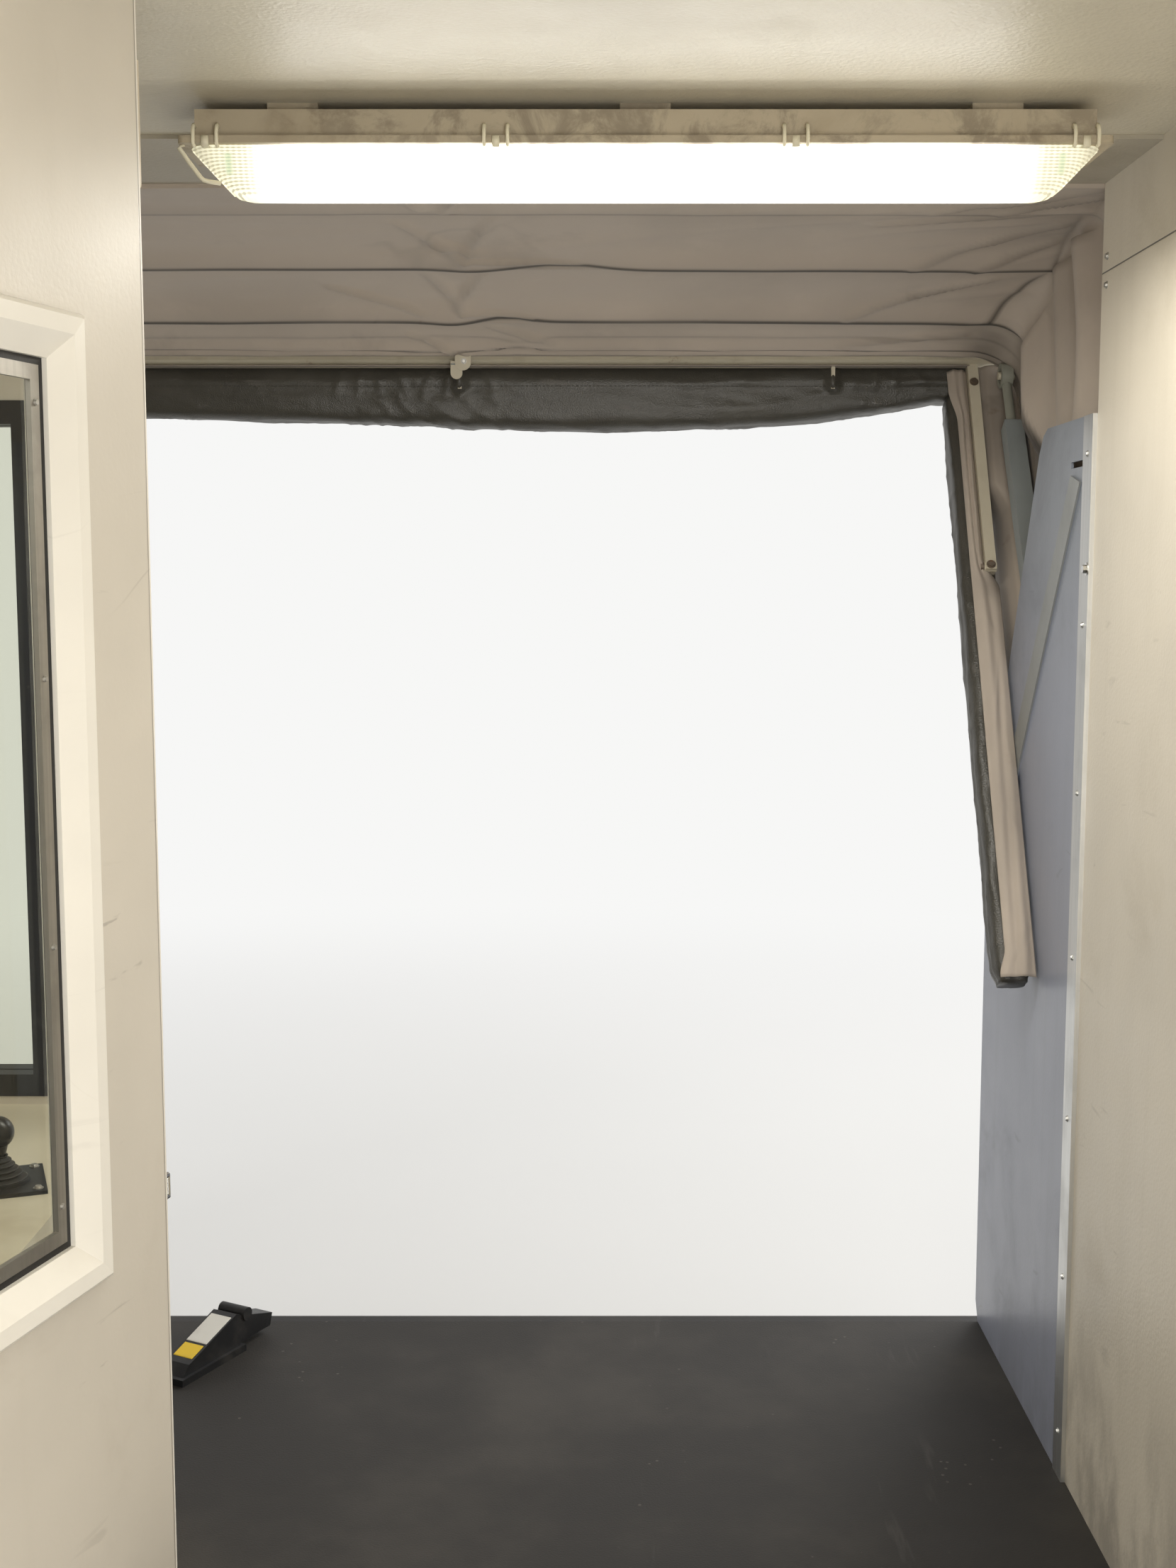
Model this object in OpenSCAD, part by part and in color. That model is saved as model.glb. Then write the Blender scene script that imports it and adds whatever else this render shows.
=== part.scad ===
// Cab at the aircraft end of a passenger boarding bridge, with its folding canopy.
// +Y points to the aircraft, +X to the right, +Z up; the origin lies under the floor box.

/* [Cab] */
// Outer width of the cab
cab_w = 3170; // [2900:10:3600]
// Length of the cab body
cab_l = 2820; // [2700:10:3400]
// Length of the floor that reaches out before the cab
ext_l = 705; // [600:5:900]
// Thickness of the walls
wall_t = 60; // [40:1:80]
// Height of the finished floor
floor_h = 300; // [250:5:400]
// Clear height from floor to ceiling
clear_h = 2252; // [2200:2:2500]
// Thickness of the ceiling panel
ceiling_t = 28; // [15:1:50]
// Roof thickness at the eaves
eave_t = 60; // [40:1:100]
// Rise of the roof from eaves to ridge
roof_rise = 45; // [20:1:120]
// Depth of the front header under the roof
header_l = 305; // [200:5:400]
// Step of the header below the ceiling
header_drop = 6; // [3:1:40]

/* [Floor] */
// Thickness of the rubber floor covering
rubber_t = 8; // [4:1:15]
// Thickness of the floor deck
deck_t = 40; // [25:1:60]
// Depth of the channel recess along the floor box
recess_d = 55; // [30:1:80]
// Flange thickness of the floor box
flange_t = 18; // [10:1:30]
// Thickness of the stiffeners in the recess
stiff_t = 12; // [8:1:20]
// Depth of the rubber buffer before the floor edge
buffer_d = 75; // [50:1:120]
// Height of the rubber buffer
buffer_h = 130; // [80:1:200]

/* [Rear portal] */
// Width of the portal opening
portal_w = 1500; // [1200:10:1560]
// Height of the portal opening
portal_h = 2140; // [2000:10:2180]
// Gap between the opening and the right wall
portal_edge = 50; // [40:1:80]
// Width of the portal flange bars
flange_w = 90; // [70:1:110]
// Depth of the portal flange
flange_d = 40; // [20:1:60]
// Radius of the bolt holes in the flange
bolt_r = 13; // [9:1:16]
// Inset of the bolt holes from the flange's outer edge
bolt_inset = 45; // [30:1:55]

/* [Operator's booth] */
// Passage side face of the booth wall
booth_x = -80; // [-150:5:-60]
// Width of the booth door
door_w = 900; // [800:5:950]
// Thickness of the booth door
door_t = 44; // [36:1:50]
// Gap above and below the door
door_gap = 8; // [6:1:15]
// Angle at which the door stands ajar
door_ajar = 16; // [0:1:40]
// Distance of the hinge line from the cab's front face
door_back = 1824; // [1800:1:1900]
// Width of the door jambs
jamb_w = 60; // [50:1:80]
// Distance from the free edge to the window frame
lite_edge = 137; // [110:1:170]
// Height of the window frame's lower edge above the floor
lite_sill = 815; // [700:5:900]
// Height of the window frame
lite_h = 1067; // [900:1:1150]
// Width of the window frame moulding
lite_b = 60; // [45:1:75]
// Height of the moulding above the door's face
lite_proud = 11; // [6:1:20]
// Thickness of the door glass
glass_t = 6; // [4:1:10]
// Width of the black gasket that shows
gasket_b = 8; // [5:1:12]
// Width of the aluminium glazing bead
bead_b = 16; // [10:1:24]
// Length of the strip on the door's edge
strip_l = 136; // [100:1:160]
// Gap between the shut door's edge and its jamb
latch_gap = 30; // [24:1:40]
// Length of each hinge barrel on the door
barrel_l = 130; // [100:1:160]
// Radius of the hinge barrels
barrel_r = 7; // [5:0.5:8]

/* [Console] */
// Width of the console
console_w = 1060; // [900:10:1200]
// Height of the console top above the floor
console_h = 710; // [650:5:900]
// Depth of the console
console_d = 830; // [780:5:860]
// Thickness of the console top
top_t = 22; // [15:1:40]
// Side of the joystick flange
stick_plate = 130; // [100:1:160]
// Turn of the joystick flange
stick_turn = 20; // [0:1:45]
// Radius of the joystick knob
knob_r = 24; // [18:1:30]
// Height of the joystick above its flange
stick_h = 104; // [90:1:130]

/* [Front window] */
// Height of the window opening's lower edge above the floor
win_sill = 725; // [720:5:1000]
// Height of the window opening
win_h = 1165; // [1000:5:1400]
// Width of the window opening
win_w = 1200; // [1000:10:1300]
// Width of the window's rubber frame
win_rubber = 38; // [25:1:50]

/* [Lamp] */
// Length of the lamp
lamp_l = 1280; // [1100:10:1400]
// Width of the lamp's rim
lamp_w = 150; // [120:1:180]
// Distance from the ceiling to the lamp's rim
lamp_h = 50; // [40:1:60]
// Gap over the lamp housing, bridged by spacers
lamp_gap = 13; // [8:1:18]
// Depth of the lens
lens_h = 66; // [60:1:90]
// Distance of the lamp's middle from the cab's front face
lamp_back = 440; // [400:5:600]
// Sideways place of the lamp's middle
lamp_x = 754; // [700:2:800]

/* [Canopy] */
// Forward reach of the canopy's pivot from the cab's front face
pivot_y = 96; // [90:1:110]
// Height of the canopy's pivot above the floor
pivot_h = 600; // [560:5:640]
// Drop of the canopy cloth below the ceiling at the first bow
bow_drop = 7.1; // [6:0.1:14]
// Thickness of the canopy cloth
cloth_t = 5; // [3:1:8]
// Side of the square bow tube
bow_b = 30; // [25:1:35]
// Width of the flat bow arms
arm_b = 45; // [35:1:60]
// Thickness of the flat bow arms
arm_t = 10; // [8:1:11]
// Spacing of the bow arms along the pivot pin
arm_pitch = 14; // [14:0.5:16]
// Radius of the pivot pin
pin_r = 20; // [15:1:25]
// Running clearance of pins
run_c = 0.3; // [0.2:0.05:0.5]
// Angle of the first bow above the horizontal
bow_a1 = 85.5; // [84:0.5:87]
// Angle of the second bow
bow_a2 = 75; // [74:0.5:77]
// Angle of the third bow
bow_a3 = 67.3; // [67:0.1:69]
// Angle of the front bow
bow_a4 = 61.7; // [61:0.1:63]
// Height of the front pad
pad_h = 136; // [110:1:160]
// Depth of the front pad
pad_d = 96; // [80:1:110]
// Radius of the side pads
side_r = 38; // [30:1:40]
// Distance from the pivot to the lower end of the side pads
side_foot = 300; // [260:10:400]
// Length of the bar down each side of the front hoop
bar_l = 500; // [400:10:600]

/* [Side guards and struts] */
// Thickness of the side guard sheets
guard_t = 5; // [3:1:6]
// Height of the side guards above the floor
guard_h = 1875; // [1700:5:1950]
// Thickness of the aluminium angles
angle_t = 3; // [2:0.5:4]
// Height of the ridge folded into each guard
ridge_h = 5; // [2:1:6]
// Side of the square strut tube
strut_b = 38; // [30:1:40]
// Wall of the strut tube
strut_t = 4; // [3:1:5]
// Length of the strut's rod that shows above its tube
rod_show = 129; // [120:1:180]
// Radius of the strut rod
rod_r = 10; // [8:1:11]

/* [Hidden] */
$fn = 64;
eps = 0.3;
cover = 0.5;
x_out = cab_w / 2;
x_in = x_out - wall_t;
y_front = 1020;
y_rear = y_front - cab_l;
y_edge = y_front + ext_l;
z_deck = floor_h - rubber_t;
z_ceil = floor_h + clear_h;
z_top = z_ceil + ceiling_t;
wall_h = z_top - z_deck;
portal_x = x_in - portal_edge - portal_w / 2;
hinge_y = y_front - door_back;
hinge_proud = 6;
door_h = clear_h - 2 * door_gap;
door_z = floor_h + door_gap;
lite_w = door_w - 2 * lite_edge;
glass_in = lite_b - 14;
post_y = hinge_y + door_w + latch_gap;
console_z = floor_h + console_h;
console_y = y_front - wall_t - console_d;
stick_x = booth_x - 115;
stick_y = y_front - wall_t - console_d / 2;
win_x = booth_x - 150 - win_w / 2;
lamp_y = y_front - lamp_back;
rim_t = 10;
rim_z = z_ceil - lamp_h - rim_t;
py = y_front + pivot_y;
pz = floor_h + pivot_h;
cloth_r = (z_ceil - bow_drop - pz) / sin(bow_a1);
bow_r = cloth_r + cloth_t + eps + bow_b / 2;
arm_x4 = x_out + 16;
pad_y = py + bow_r * cos(bow_a4) + bow_b * 0.72;
pad_z = pz + bow_r * sin(bow_a4) - 85;
plate_t = 6;
side_x = x_in - 50;
side_off = 55;
guard_x = x_in - guard_t / 2;
strut_x = x_in + 30;
strut_py = py - 50;
strut_pz = pz + 250;
strut_ta = 63;
strut_tr = cloth_r - 50;
strut_ty = py + strut_tr * cos(strut_ta);
strut_tz = pz + strut_tr * sin(strut_ta);
strut_len = sqrt(pow(strut_ty - strut_py, 2) + pow(strut_tz - strut_pz, 2));
strut_a = atan2(strut_tz - strut_pz, strut_ty - strut_py);
strut_l = strut_len - rod_show;
strut_pin = 8;
tab_step = (x_in - 325) / 3;

// Box given by its low and high corners
module block(x0, x1, y0, y1, z0, z1) {
  translate([x0, y0, z0]) cube([x1 - x0, y1 - y0, z1 - z0]);
}

// Extrudes a profile drawn in Y and Z along X, between two places
module along_x(x0, x1) {
  translate([x0, 0, 0]) rotate([90, 0, 90]) linear_extrude(x1 - x0) children();
}

// Draws its children on the right and on the left
module both_sides() {
  children();
  mirror([1, 0, 0]) children();
}

// Steel box under the floor, with a channel recess along both sides and upright stiffeners
module floor_box() {
  box_h = z_deck - deck_t;
  color("dimgray") union() {
    translate([0, y_edge, 0]) rotate([90, 0, 0]) linear_extrude(y_edge - y_rear)
      polygon([[-x_out, 0], [x_out, 0], [x_out, flange_t], [x_out - recess_d, flange_t],
        [x_out - recess_d, box_h - flange_t], [x_out, box_h - flange_t], [x_out, box_h],
        [-x_out, box_h], [-x_out, box_h - flange_t], [-x_out + recess_d, box_h - flange_t],
        [-x_out + recess_d, flange_t], [-x_out, flange_t]]);
    for (i = [0:6]) both_sides()
      block(x_out - recess_d, x_out - 3, y_rear + 60 + i * (y_edge - y_rear - 120) / 6 - stiff_t / 2,
        y_rear + 60 + i * (y_edge - y_rear - 120) / 6 + stiff_t / 2, flange_t, box_h - flange_t);
  }
}

module floor_deck() {
  color("gray") block(-x_out, x_out, y_rear, y_edge, z_deck - deck_t, z_deck);
}

module floor_rubber() {
  color([0.22, 0.21, 0.2]) union() {
    block(-x_in, x_in, y_rear + wall_t, y_edge, z_deck, floor_h);
    block(portal_x - portal_w / 2, portal_x + portal_w / 2, y_rear, y_rear + wall_t, z_deck, floor_h);
  }
}

// Rubber buffer along the front edge of the floor, with two grooves
module floor_buffer() {
  groove = 12;
  color([0.12, 0.12, 0.12]) along_x(-x_out, x_out) difference() {
    union() {
      translate([y_edge, z_deck - buffer_h]) square([buffer_d - buffer_h / 4, buffer_h]);
      translate([y_edge, z_deck - buffer_h * 0.75]) square([buffer_d, buffer_h / 2]);
      for (k = [0.25, 0.75])
        translate([y_edge + buffer_d - buffer_h / 4, z_deck - buffer_h * k]) circle(buffer_h / 4);
    }
    translate([y_edge + buffer_d, z_deck - buffer_h / 2]) circle(groove);
  }
}

module right_wall() {
  color([0.86, 0.83, 0.77]) block(x_in, x_out, y_rear, y_front, z_deck, z_top);
}

module left_wall() {
  color([0.86, 0.83, 0.77]) block(-x_out, -x_in, y_rear, y_front, z_deck, z_top);
}

// Rear wall with the portal cut through it
module rear_wall() {
  color([0.86, 0.83, 0.77]) difference() {
    block(-x_in, x_in, y_rear, y_rear + wall_t, z_deck, z_top);
    block(portal_x - portal_w / 2, portal_x + portal_w / 2, y_rear - 1, y_rear + wall_t + 1,
      z_deck - 1, floor_h + portal_h);
  }
}

// Steel flange round the portal, where the tunnel is bolted on
module portal_flange() {
  fx = portal_w / 2 + flange_w;
  z0 = floor_h - flange_w;
  z1 = floor_h + portal_h + flange_w;
  color("slategray") difference() {
    block(portal_x - fx, portal_x + fx, y_rear - flange_d, y_rear, z0, z1);
    block(portal_x - portal_w / 2, portal_x + portal_w / 2, y_rear - flange_d - 1, y_rear + 1,
      floor_h, floor_h + portal_h);
    for (sx = [-1, 1], z = [z0 + bolt_inset, z1 - bolt_inset])
      translate([portal_x + sx * (fx - bolt_inset), y_rear + 1, z])
        rotate([90, 0, 0]) cylinder(h = flange_d + 2, r = bolt_r);
  }
}

// Booth wall behind the door, and the jamb before it
module booth_wall() {
  color([0.84, 0.81, 0.75]) {
    block(booth_x - wall_t, booth_x, y_rear + wall_t, hinge_y - door_gap, floor_h, z_ceil);
    block(booth_x - wall_t, booth_x, post_y, post_y + jamb_w, floor_h, z_ceil);
    for (z = [120, door_h - 260], k = [[-40, 0], [barrel_l + eps, 40]])
      translate([booth_x + hinge_proud, hinge_y, door_z + z + k[0]]) union() {
        cylinder(h = abs(k[0] < 0 ? 40 - eps : k[1]), r = barrel_r);
        translate([-hinge_proud, -50, 0]) cube([4, 50, k[0] < 0 ? 40 - eps : k[1]]);
      }
  }
}

// Front wall of the booth, with its window opening
module booth_front() {
  color([0.84, 0.81, 0.75]) difference() {
    block(-x_in, booth_x, y_front - wall_t, y_front, floor_h, z_ceil - header_drop);
    block(win_x - win_w / 2, win_x + win_w / 2, y_front - wall_t - 1, y_front + 1,
      floor_h + win_sill, floor_h + win_sill + win_h);
  }
}

// Rubber frame that grips the window glass
module window_rubber() {
  gx = win_w / 2;
  gy = y_front - wall_t / 2;
  color([0.1, 0.1, 0.1]) difference() {
    block(win_x - gx, win_x + gx, y_front - wall_t - 4, y_front + 4, floor_h + win_sill,
      floor_h + win_sill + win_h);
    block(win_x - gx + win_rubber, win_x + gx - win_rubber, y_front - wall_t - 5, y_front + 5,
      floor_h + win_sill + win_rubber, floor_h + win_sill + win_h - win_rubber);
    block(win_x - gx + win_rubber / 2, win_x + gx - win_rubber / 2, gy - glass_t / 2, gy + glass_t / 2,
      floor_h + win_sill + win_rubber / 2, floor_h + win_sill + win_h - win_rubber / 2);
  }
}

module window_glass() {
  gx = win_w / 2 - win_rubber / 2;
  gy = y_front - wall_t / 2;
  color([0.8, 0.85, 0.85, 0.4]) block(win_x - gx, win_x + gx, gy - glass_t / 2, gy + glass_t / 2,
    floor_h + win_sill + win_rubber / 2, floor_h + win_sill + win_h - win_rubber / 2);
}

module ceiling() {
  color([0.8, 0.77, 0.7])
    block(-x_in, x_in, y_rear + wall_t, y_front - header_l, z_ceil, z_top);
}

// Header over the front opening, a little lower than the ceiling
module front_header() {
  color([0.7, 0.67, 0.61])
    block(-x_in, x_in, y_front - header_l, y_front, z_ceil - header_drop, z_top);
}

// Roof with a shallow ridge and a drip edge along the eaves
module roof() {
  drip = 14;
  color([0.8, 0.79, 0.75]) translate([0, y_front, z_top]) rotate([90, 0, 0])
    linear_extrude(y_front - y_rear)
      polygon([[-x_out, 0], [x_out, 0], [x_out + drip, -drip], [x_out + drip, eave_t],
        [0, eave_t + roof_rise], [-x_out - drip, eave_t], [-x_out - drip, -drip]]);
}

// Aluminium angle down the front edge of each side wall
module edge_angles() {
  leg = 56;
  color([0.75, 0.75, 0.74]) both_sides() union() {
    block(x_in - guard_t - angle_t, x_in - guard_t, y_front, y_front + leg, floor_h, floor_h + guard_h);
    block(x_in - guard_t - angle_t, x_in + 28, y_front, y_front + angle_t, floor_h, floor_h + guard_h);
  }
}

// Guard sheet beside the floor, with a folded ridge and a slot, cut back towards the top
module guards() {
  low_z = floor_h;
  top_z = floor_h + guard_h;
  knee_z = floor_h + 1150;
  edge_y = y_edge + 25;
  color([0.56, 0.59, 0.63]) both_sides() difference() {
    union() {
      along_x(x_in - guard_t, x_in) difference() {
        polygon([[y_front + angle_t, low_z], [y_edge, low_z], [edge_y, low_z + 40], [edge_y, knee_z - 60],
          [edge_y - 20, knee_z], [y_front + 369, top_z - 43], [y_front + 342, top_z - 12],
          [y_front + 312, top_z], [y_front + angle_t, top_z]]);
      }
      intersection() {
        along_x(x_in - guard_t - ridge_h, x_in - guard_t) polygon([[y_front + 66, top_z - 110],
          [y_front + 126, top_z - 96], [y_front + 590, floor_h + 1150], [y_front + 530, floor_h + 1130]]);
        block(x_in - 40, x_in, y_front, edge_y, low_z, top_z);
      }
    }
    along_x(x_in - guard_t - 1, x_in + 1) translate([y_front + 92, top_z - 78])
      square([100, 11], center = true);
  }
}

// Bracket plates and pins that carry the bows and the struts
module canopy_pivots() {
  color([0.7, 0.66, 0.56]) both_sides() {
    union() {
      along_x(x_out, x_out + 12) union() {
        translate([y_front - 110, pz - 60]) square([110 + pivot_y, 120]);
        translate([py, pz]) circle(60);
      }
      translate([x_out, py, pz]) rotate([0, 90, 0]) cylinder(h = 20 + 4 * arm_pitch, r = pin_r);
      translate([x_out + 18 + 4 * arm_pitch, py, pz]) rotate([0, 90, 0]) cylinder(h = 10, r = pin_r + 8);
    }
    union() {
      along_x(x_in + 51, x_in + 59) union() {
        translate([y_front, strut_pz - 35]) square([strut_py - y_front, 70]);
        translate([strut_py, strut_pz]) circle(35);
      }
      translate([strut_x - strut_b / 2 - 2, strut_py, strut_pz]) rotate([0, 90, 0])
        cylinder(h = strut_b / 2 + 24, r = strut_pin);
    }
  }
}

// Flat arm of a bow from the pivot to its cross tube, drawn along +X of its own plane
module arm(x0) {
  along_x(x0, x0 + arm_t) difference() {
    union() {
      circle(pin_r + 16);
      translate([0, -arm_b / 2]) square([bow_r + bow_b / 2, arm_b]);
    }
    circle(pin_r + run_c);
  }
}

// One hoop: two arms and a square cross tube, at an angle about the pivot
module hoop(k, a) {
  xa = arm_x4 + (4 - k) * arm_pitch;
  translate([0, py, pz]) rotate([a, 0, 0]) {
    both_sides() arm(xa);
    translate([-xa, bow_r - bow_b / 2, -bow_b / 2]) cube([2 * xa, bow_b, bow_b]);
  }
}

module bow_1() { color([0.72, 0.69, 0.6]) union() hoop(1, bow_a1); }
module bow_2() { color([0.72, 0.69, 0.6]) union() hoop(2, bow_a2); }
module bow_3() { color([0.72, 0.69, 0.6]) union() hoop(3, bow_a3); }

// Plate and tabs that carry the front pad, grown by a clearance
module pad_plate(c) {
  plate_x = side_x - side_r - 6 + c;
  block(-plate_x, plate_x, pad_y - plate_t - c, pad_y + c, pad_z + 4 - c, pad_z + 48 + c);
  for (k = [-3, -1, 1, 3]) block(k * tab_step - 4 - c, k * tab_step + 4 + c, pad_y - bow_b * 0.9,
    pad_y - plate_t + 1, pad_z + 20 - c, pad_z + 85);
}

// Backing strip, side bar and its bolt boss on each side of the front hoop, grown by a clearance
module side_irons(c) {
  top = bow_r - bow_b / 2 - eps;
  bar_x = side_x + 22;
  translate([0, py, pz]) rotate([bow_a4, 0, 0]) both_sides() {
    block(side_x - 24 - c, side_x + 24 + c, side_foot + 10 - c, bow_r - 22 + c, -side_off + 25 - c, -side_off + 30 + c);
    block(bar_x - 11 - c, bar_x + 11 + c, bow_r - bar_l - 10 - c, top + c / 2, -side_off + 29 - c, -0.5);
    translate([bar_x - 13 - c, bow_r - bar_l, -12]) rotate([0, 90, 0]) cylinder(h = 25 + 2 * c, r = 11 + c);
  }
}

// Front hoop with the irons that carry its pads, and the pins of the struts
module bow_4() {
  color([0.72, 0.69, 0.6]) union() {
    hoop(4, bow_a4);
    pad_plate(0);
    side_irons(0);
    translate([0, strut_ty, strut_tz]) both_sides() {
      translate([strut_x - 16, 0, 0]) rotate([0, 90, 0]) cylinder(h = arm_x4 - strut_x + 18, r = strut_pin);
      translate([arm_x4, 0, 0]) rotate([0, 90, 0]) cylinder(h = arm_t, r = 30);
    }
  }
}

// Point of the cloth at a radius and an angle about the pivot
function polar(r, a) = [py + r * cos(a), pz + r * sin(a)];

// Roof strip between two angles, sagging a little between the bows
module strip(a0, a1, sag) {
  n = 8;
  along_x(-x_out - eps - cloth_t, x_out + eps + cloth_t)
    polygon(concat(
      [for (i = [0:n]) polar(cloth_r - sag * sin(180 * i / n), a0 + (a1 - a0) * i / n)],
      [for (i = [n:-1:0]) polar(cloth_r + cloth_t - sag * sin(180 * i / n), a0 + (a1 - a0) * i / n)]));
}

// Side sheets of one bay, from the pivot up to the roof strip
module cheek(pts) {
  both_sides() along_x(x_out + eps, x_out + eps + cloth_t) polygon(pts);
}

module bay(a0, a1, sag) {
  union() {
    strip(a0, a1, sag);
    cheek([polar(150, a0), polar(cloth_r, a0), polar(cloth_r, a1), polar(150, a1)]);
  }
}

// Rear bay, from the cab's front edge to the first bow
module cloth_1() {
  color([0.53, 0.5, 0.45]) union() {
    along_x(-x_out - eps - cloth_t, x_out + eps + cloth_t)
      polygon([[y_front + eps, z_ceil - 14], polar(cloth_r, bow_a1), polar(cloth_r + cloth_t, bow_a1),
        [y_front + eps, z_ceil - 14 + cloth_t]]);
    cheek([[y_front - 40, pz + 150], [y_front - 40, z_ceil - 14 + cloth_t],
      [y_front + eps, z_ceil - 14 + cloth_t], polar(cloth_r + cloth_t, bow_a1), polar(150, bow_a1)]);
  }
}
module cloth_2() { color([0.53, 0.5, 0.45]) bay(bow_a1 - 0.02, bow_a2 + 0.02, 12); }
module cloth_3() { color([0.53, 0.5, 0.45]) bay(bow_a2 - 0.02, bow_a3 + 0.02, 10); }
module cloth_4() {
  color([0.53, 0.5, 0.45]) difference() {
    bay(bow_a3 - 0.02, bow_a4 + 0.02, 16);
    both_sides() translate([x_out - 5, strut_ty, strut_tz]) rotate([0, 90, 0])
      cylinder(h = 20, r = strut_pin + 12);
  }
}

// Cloth gusset from the canopy's side sheet towards the side pad, slotted where the guard passes
module gusset() {
  slot_top = 1305;
  translate([0, py, pz]) rotate([bow_a4, 0, 0]) both_sides() {
    block(guard_x + guard_t / 2 + 8, x_out, side_foot, slot_top, -6, -1);
    block(side_x + side_r + 5, x_out, slot_top + eps, bow_r - bow_b / 2 - 2 * eps, -6, -1);
  }
}

// Padded front edge: a roll across the top and one down each side, wrapped round their irons
module front_pads() {
  r = pad_h * 0.3;
  skin = 9;
  color([0.27, 0.26, 0.25]) {
    difference() {
      union() {
        along_x(-x_in + 10, x_in - 10) union() {
          translate([pad_y - plate_t - skin, pad_z - pad_h / 2]) square([plate_t + skin + 1, pad_h - 12]);
          translate([pad_y + eps, pad_z - pad_h / 2]) square([pad_d - r, pad_h]);
          translate([pad_y + eps, pad_z - pad_h / 2 + r]) square([pad_d, pad_h - 2 * r]);
          for (s = [-1, 1]) translate([pad_y + eps + pad_d - r, pad_z + s * (pad_h / 2 - r)]) circle(r);
        }
        translate([0, py, pz]) rotate([bow_a4, 0, 0]) both_sides() {
          translate([side_x, side_foot, -side_off]) rotate([-90, 0, 0])
            linear_extrude(bow_r - side_foot - 80) circle(side_r);
          block(side_x - 36, side_x + 36, side_foot, bow_r - 80, -side_off + 10, -side_off + 36);
        }
      }
      pad_plate(eps);
      side_irons(eps);
    }
    gusset();
  }
}

// Square tube of the telescoping strut, open at its upper end round the rod
module strut_tubes() {
  bush = 30;
  color([0.55, 0.58, 0.6]) both_sides() translate([strut_x, strut_py, strut_pz]) rotate([strut_a, 0, 0])
    difference() {
      union() {
        translate([-strut_b / 2, 0, -strut_b / 2]) cube([strut_b, strut_l, strut_b]);
        translate([-strut_b / 2, 0, 0]) rotate([0, 90, 0]) cylinder(h = strut_b, r = strut_b / 2);
      }
      translate([-strut_b / 2 + strut_t, 60, -strut_b / 2 + strut_t])
        cube([strut_b - 2 * strut_t, strut_l - 60 - bush, strut_b - 2 * strut_t]);
      translate([0, strut_l - bush - 1, 0]) rotate([-90, 0, 0]) cylinder(h = bush + 2, r = rod_r + run_c);
      translate([-strut_b / 2 - 1, 0, 0]) rotate([0, 90, 0]) cylinder(h = strut_b + 2, r = strut_pin + run_c);
    }
}

// Rod of the strut, with the slotted eye that holds the front bow's pin
module strut_rods() {
  inside = 330;
  eye_r = 26;
  color([0.62, 0.64, 0.64]) both_sides() translate([strut_x, strut_py, strut_pz]) rotate([strut_a, 0, 0])
    difference() {
      union() {
        translate([0, strut_l - inside, 0]) rotate([-90, 0, 0])
          cylinder(h = strut_len - strut_l + inside - eye_r + 4, r = rod_r);
        translate([-12, strut_len, 0]) rotate([0, 90, 0]) cylinder(h = 24, r = eye_r);
      }
      translate([-13, strut_len, 0]) rotate([0, 90, 0]) cylinder(h = 26, r = strut_pin + 8);
    }
}

// Console body, with its end piece behind the door jamb
module console_body() {
  x0 = booth_x - wall_t - 5;
  color([0.82, 0.79, 0.7]) translate([0, 0, floor_h]) linear_extrude(console_h - top_t)
    polygon([[x0 - console_w, console_y], [x0, console_y], [x0, post_y + jamb_w], [booth_x, post_y + jamb_w],
      [booth_x, y_front - wall_t], [x0 - console_w, y_front - wall_t]]);
}

// Console top with a rounded front edge
module console_top() {
  x0 = booth_x - wall_t - 5;
  color([0.88, 0.85, 0.77]) difference() {
    union() {
      translate([0, 0, console_z - top_t]) linear_extrude(top_t)
        polygon([[x0 - console_w, console_y], [x0, console_y], [x0, post_y + jamb_w],
          [booth_x, post_y + jamb_w], [booth_x, y_front - wall_t], [x0 - console_w, y_front - wall_t]]);
      translate([x0 - console_w, console_y, console_z - top_t / 2]) rotate([0, 90, 0])
        cylinder(h = console_w, r = top_t / 2);
    }
    translate([stick_x, stick_y, console_z - top_t - 1]) cylinder(h = top_t + 2, r = 30);
  }
}

module stick_flange() {
  rim = 6;
  color([0.1, 0.1, 0.1]) translate([stick_x, stick_y, console_z]) rotate([0, 0, stick_turn]) difference() {
    union() {
      translate([-stick_plate / 2, -stick_plate / 2, 0]) cube([stick_plate, stick_plate, rim]);
      cylinder(h = rim + 5, r = 44);
    }
    translate([0, 0, -1]) cylinder(h = 20, r = 24);
  }
}

// Ribbed rubber boot round the joystick
module stick_boot() {
  color([0.13, 0.13, 0.13]) translate([stick_x, stick_y, console_z + 11 + eps]) difference() {
    union() for (i = [0:3]) translate([0, 0, i * 8.5]) cylinder(h = 8.5, r1 = 40 - i * 7, r2 = 33 - i * 7);
    translate([0, 0, -1]) cylinder(h = 40, r = 11);
  }
}

module stick() {
  shaft_r = 7;
  color([0.15, 0.15, 0.15]) translate([stick_x, stick_y, console_z]) union() {
    translate([0, 0, -top_t / 2]) cylinder(h = stick_h - 20 + top_t / 2, r = shaft_r);
    translate([0, 0, -top_t / 2]) sphere(r = top_t / 2 - eps);
    translate([-20, 0, -top_t / 2]) rotate([0, 90, 0]) cylinder(h = 40, r = 4);
    translate([0, 0, stick_h - knob_r]) sphere(r = knob_r);
    translate([0, 0, stick_h - 2 * knob_r - 8]) cylinder(h = 24, r1 = 11, r2 = 17);
  }
}

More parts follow.
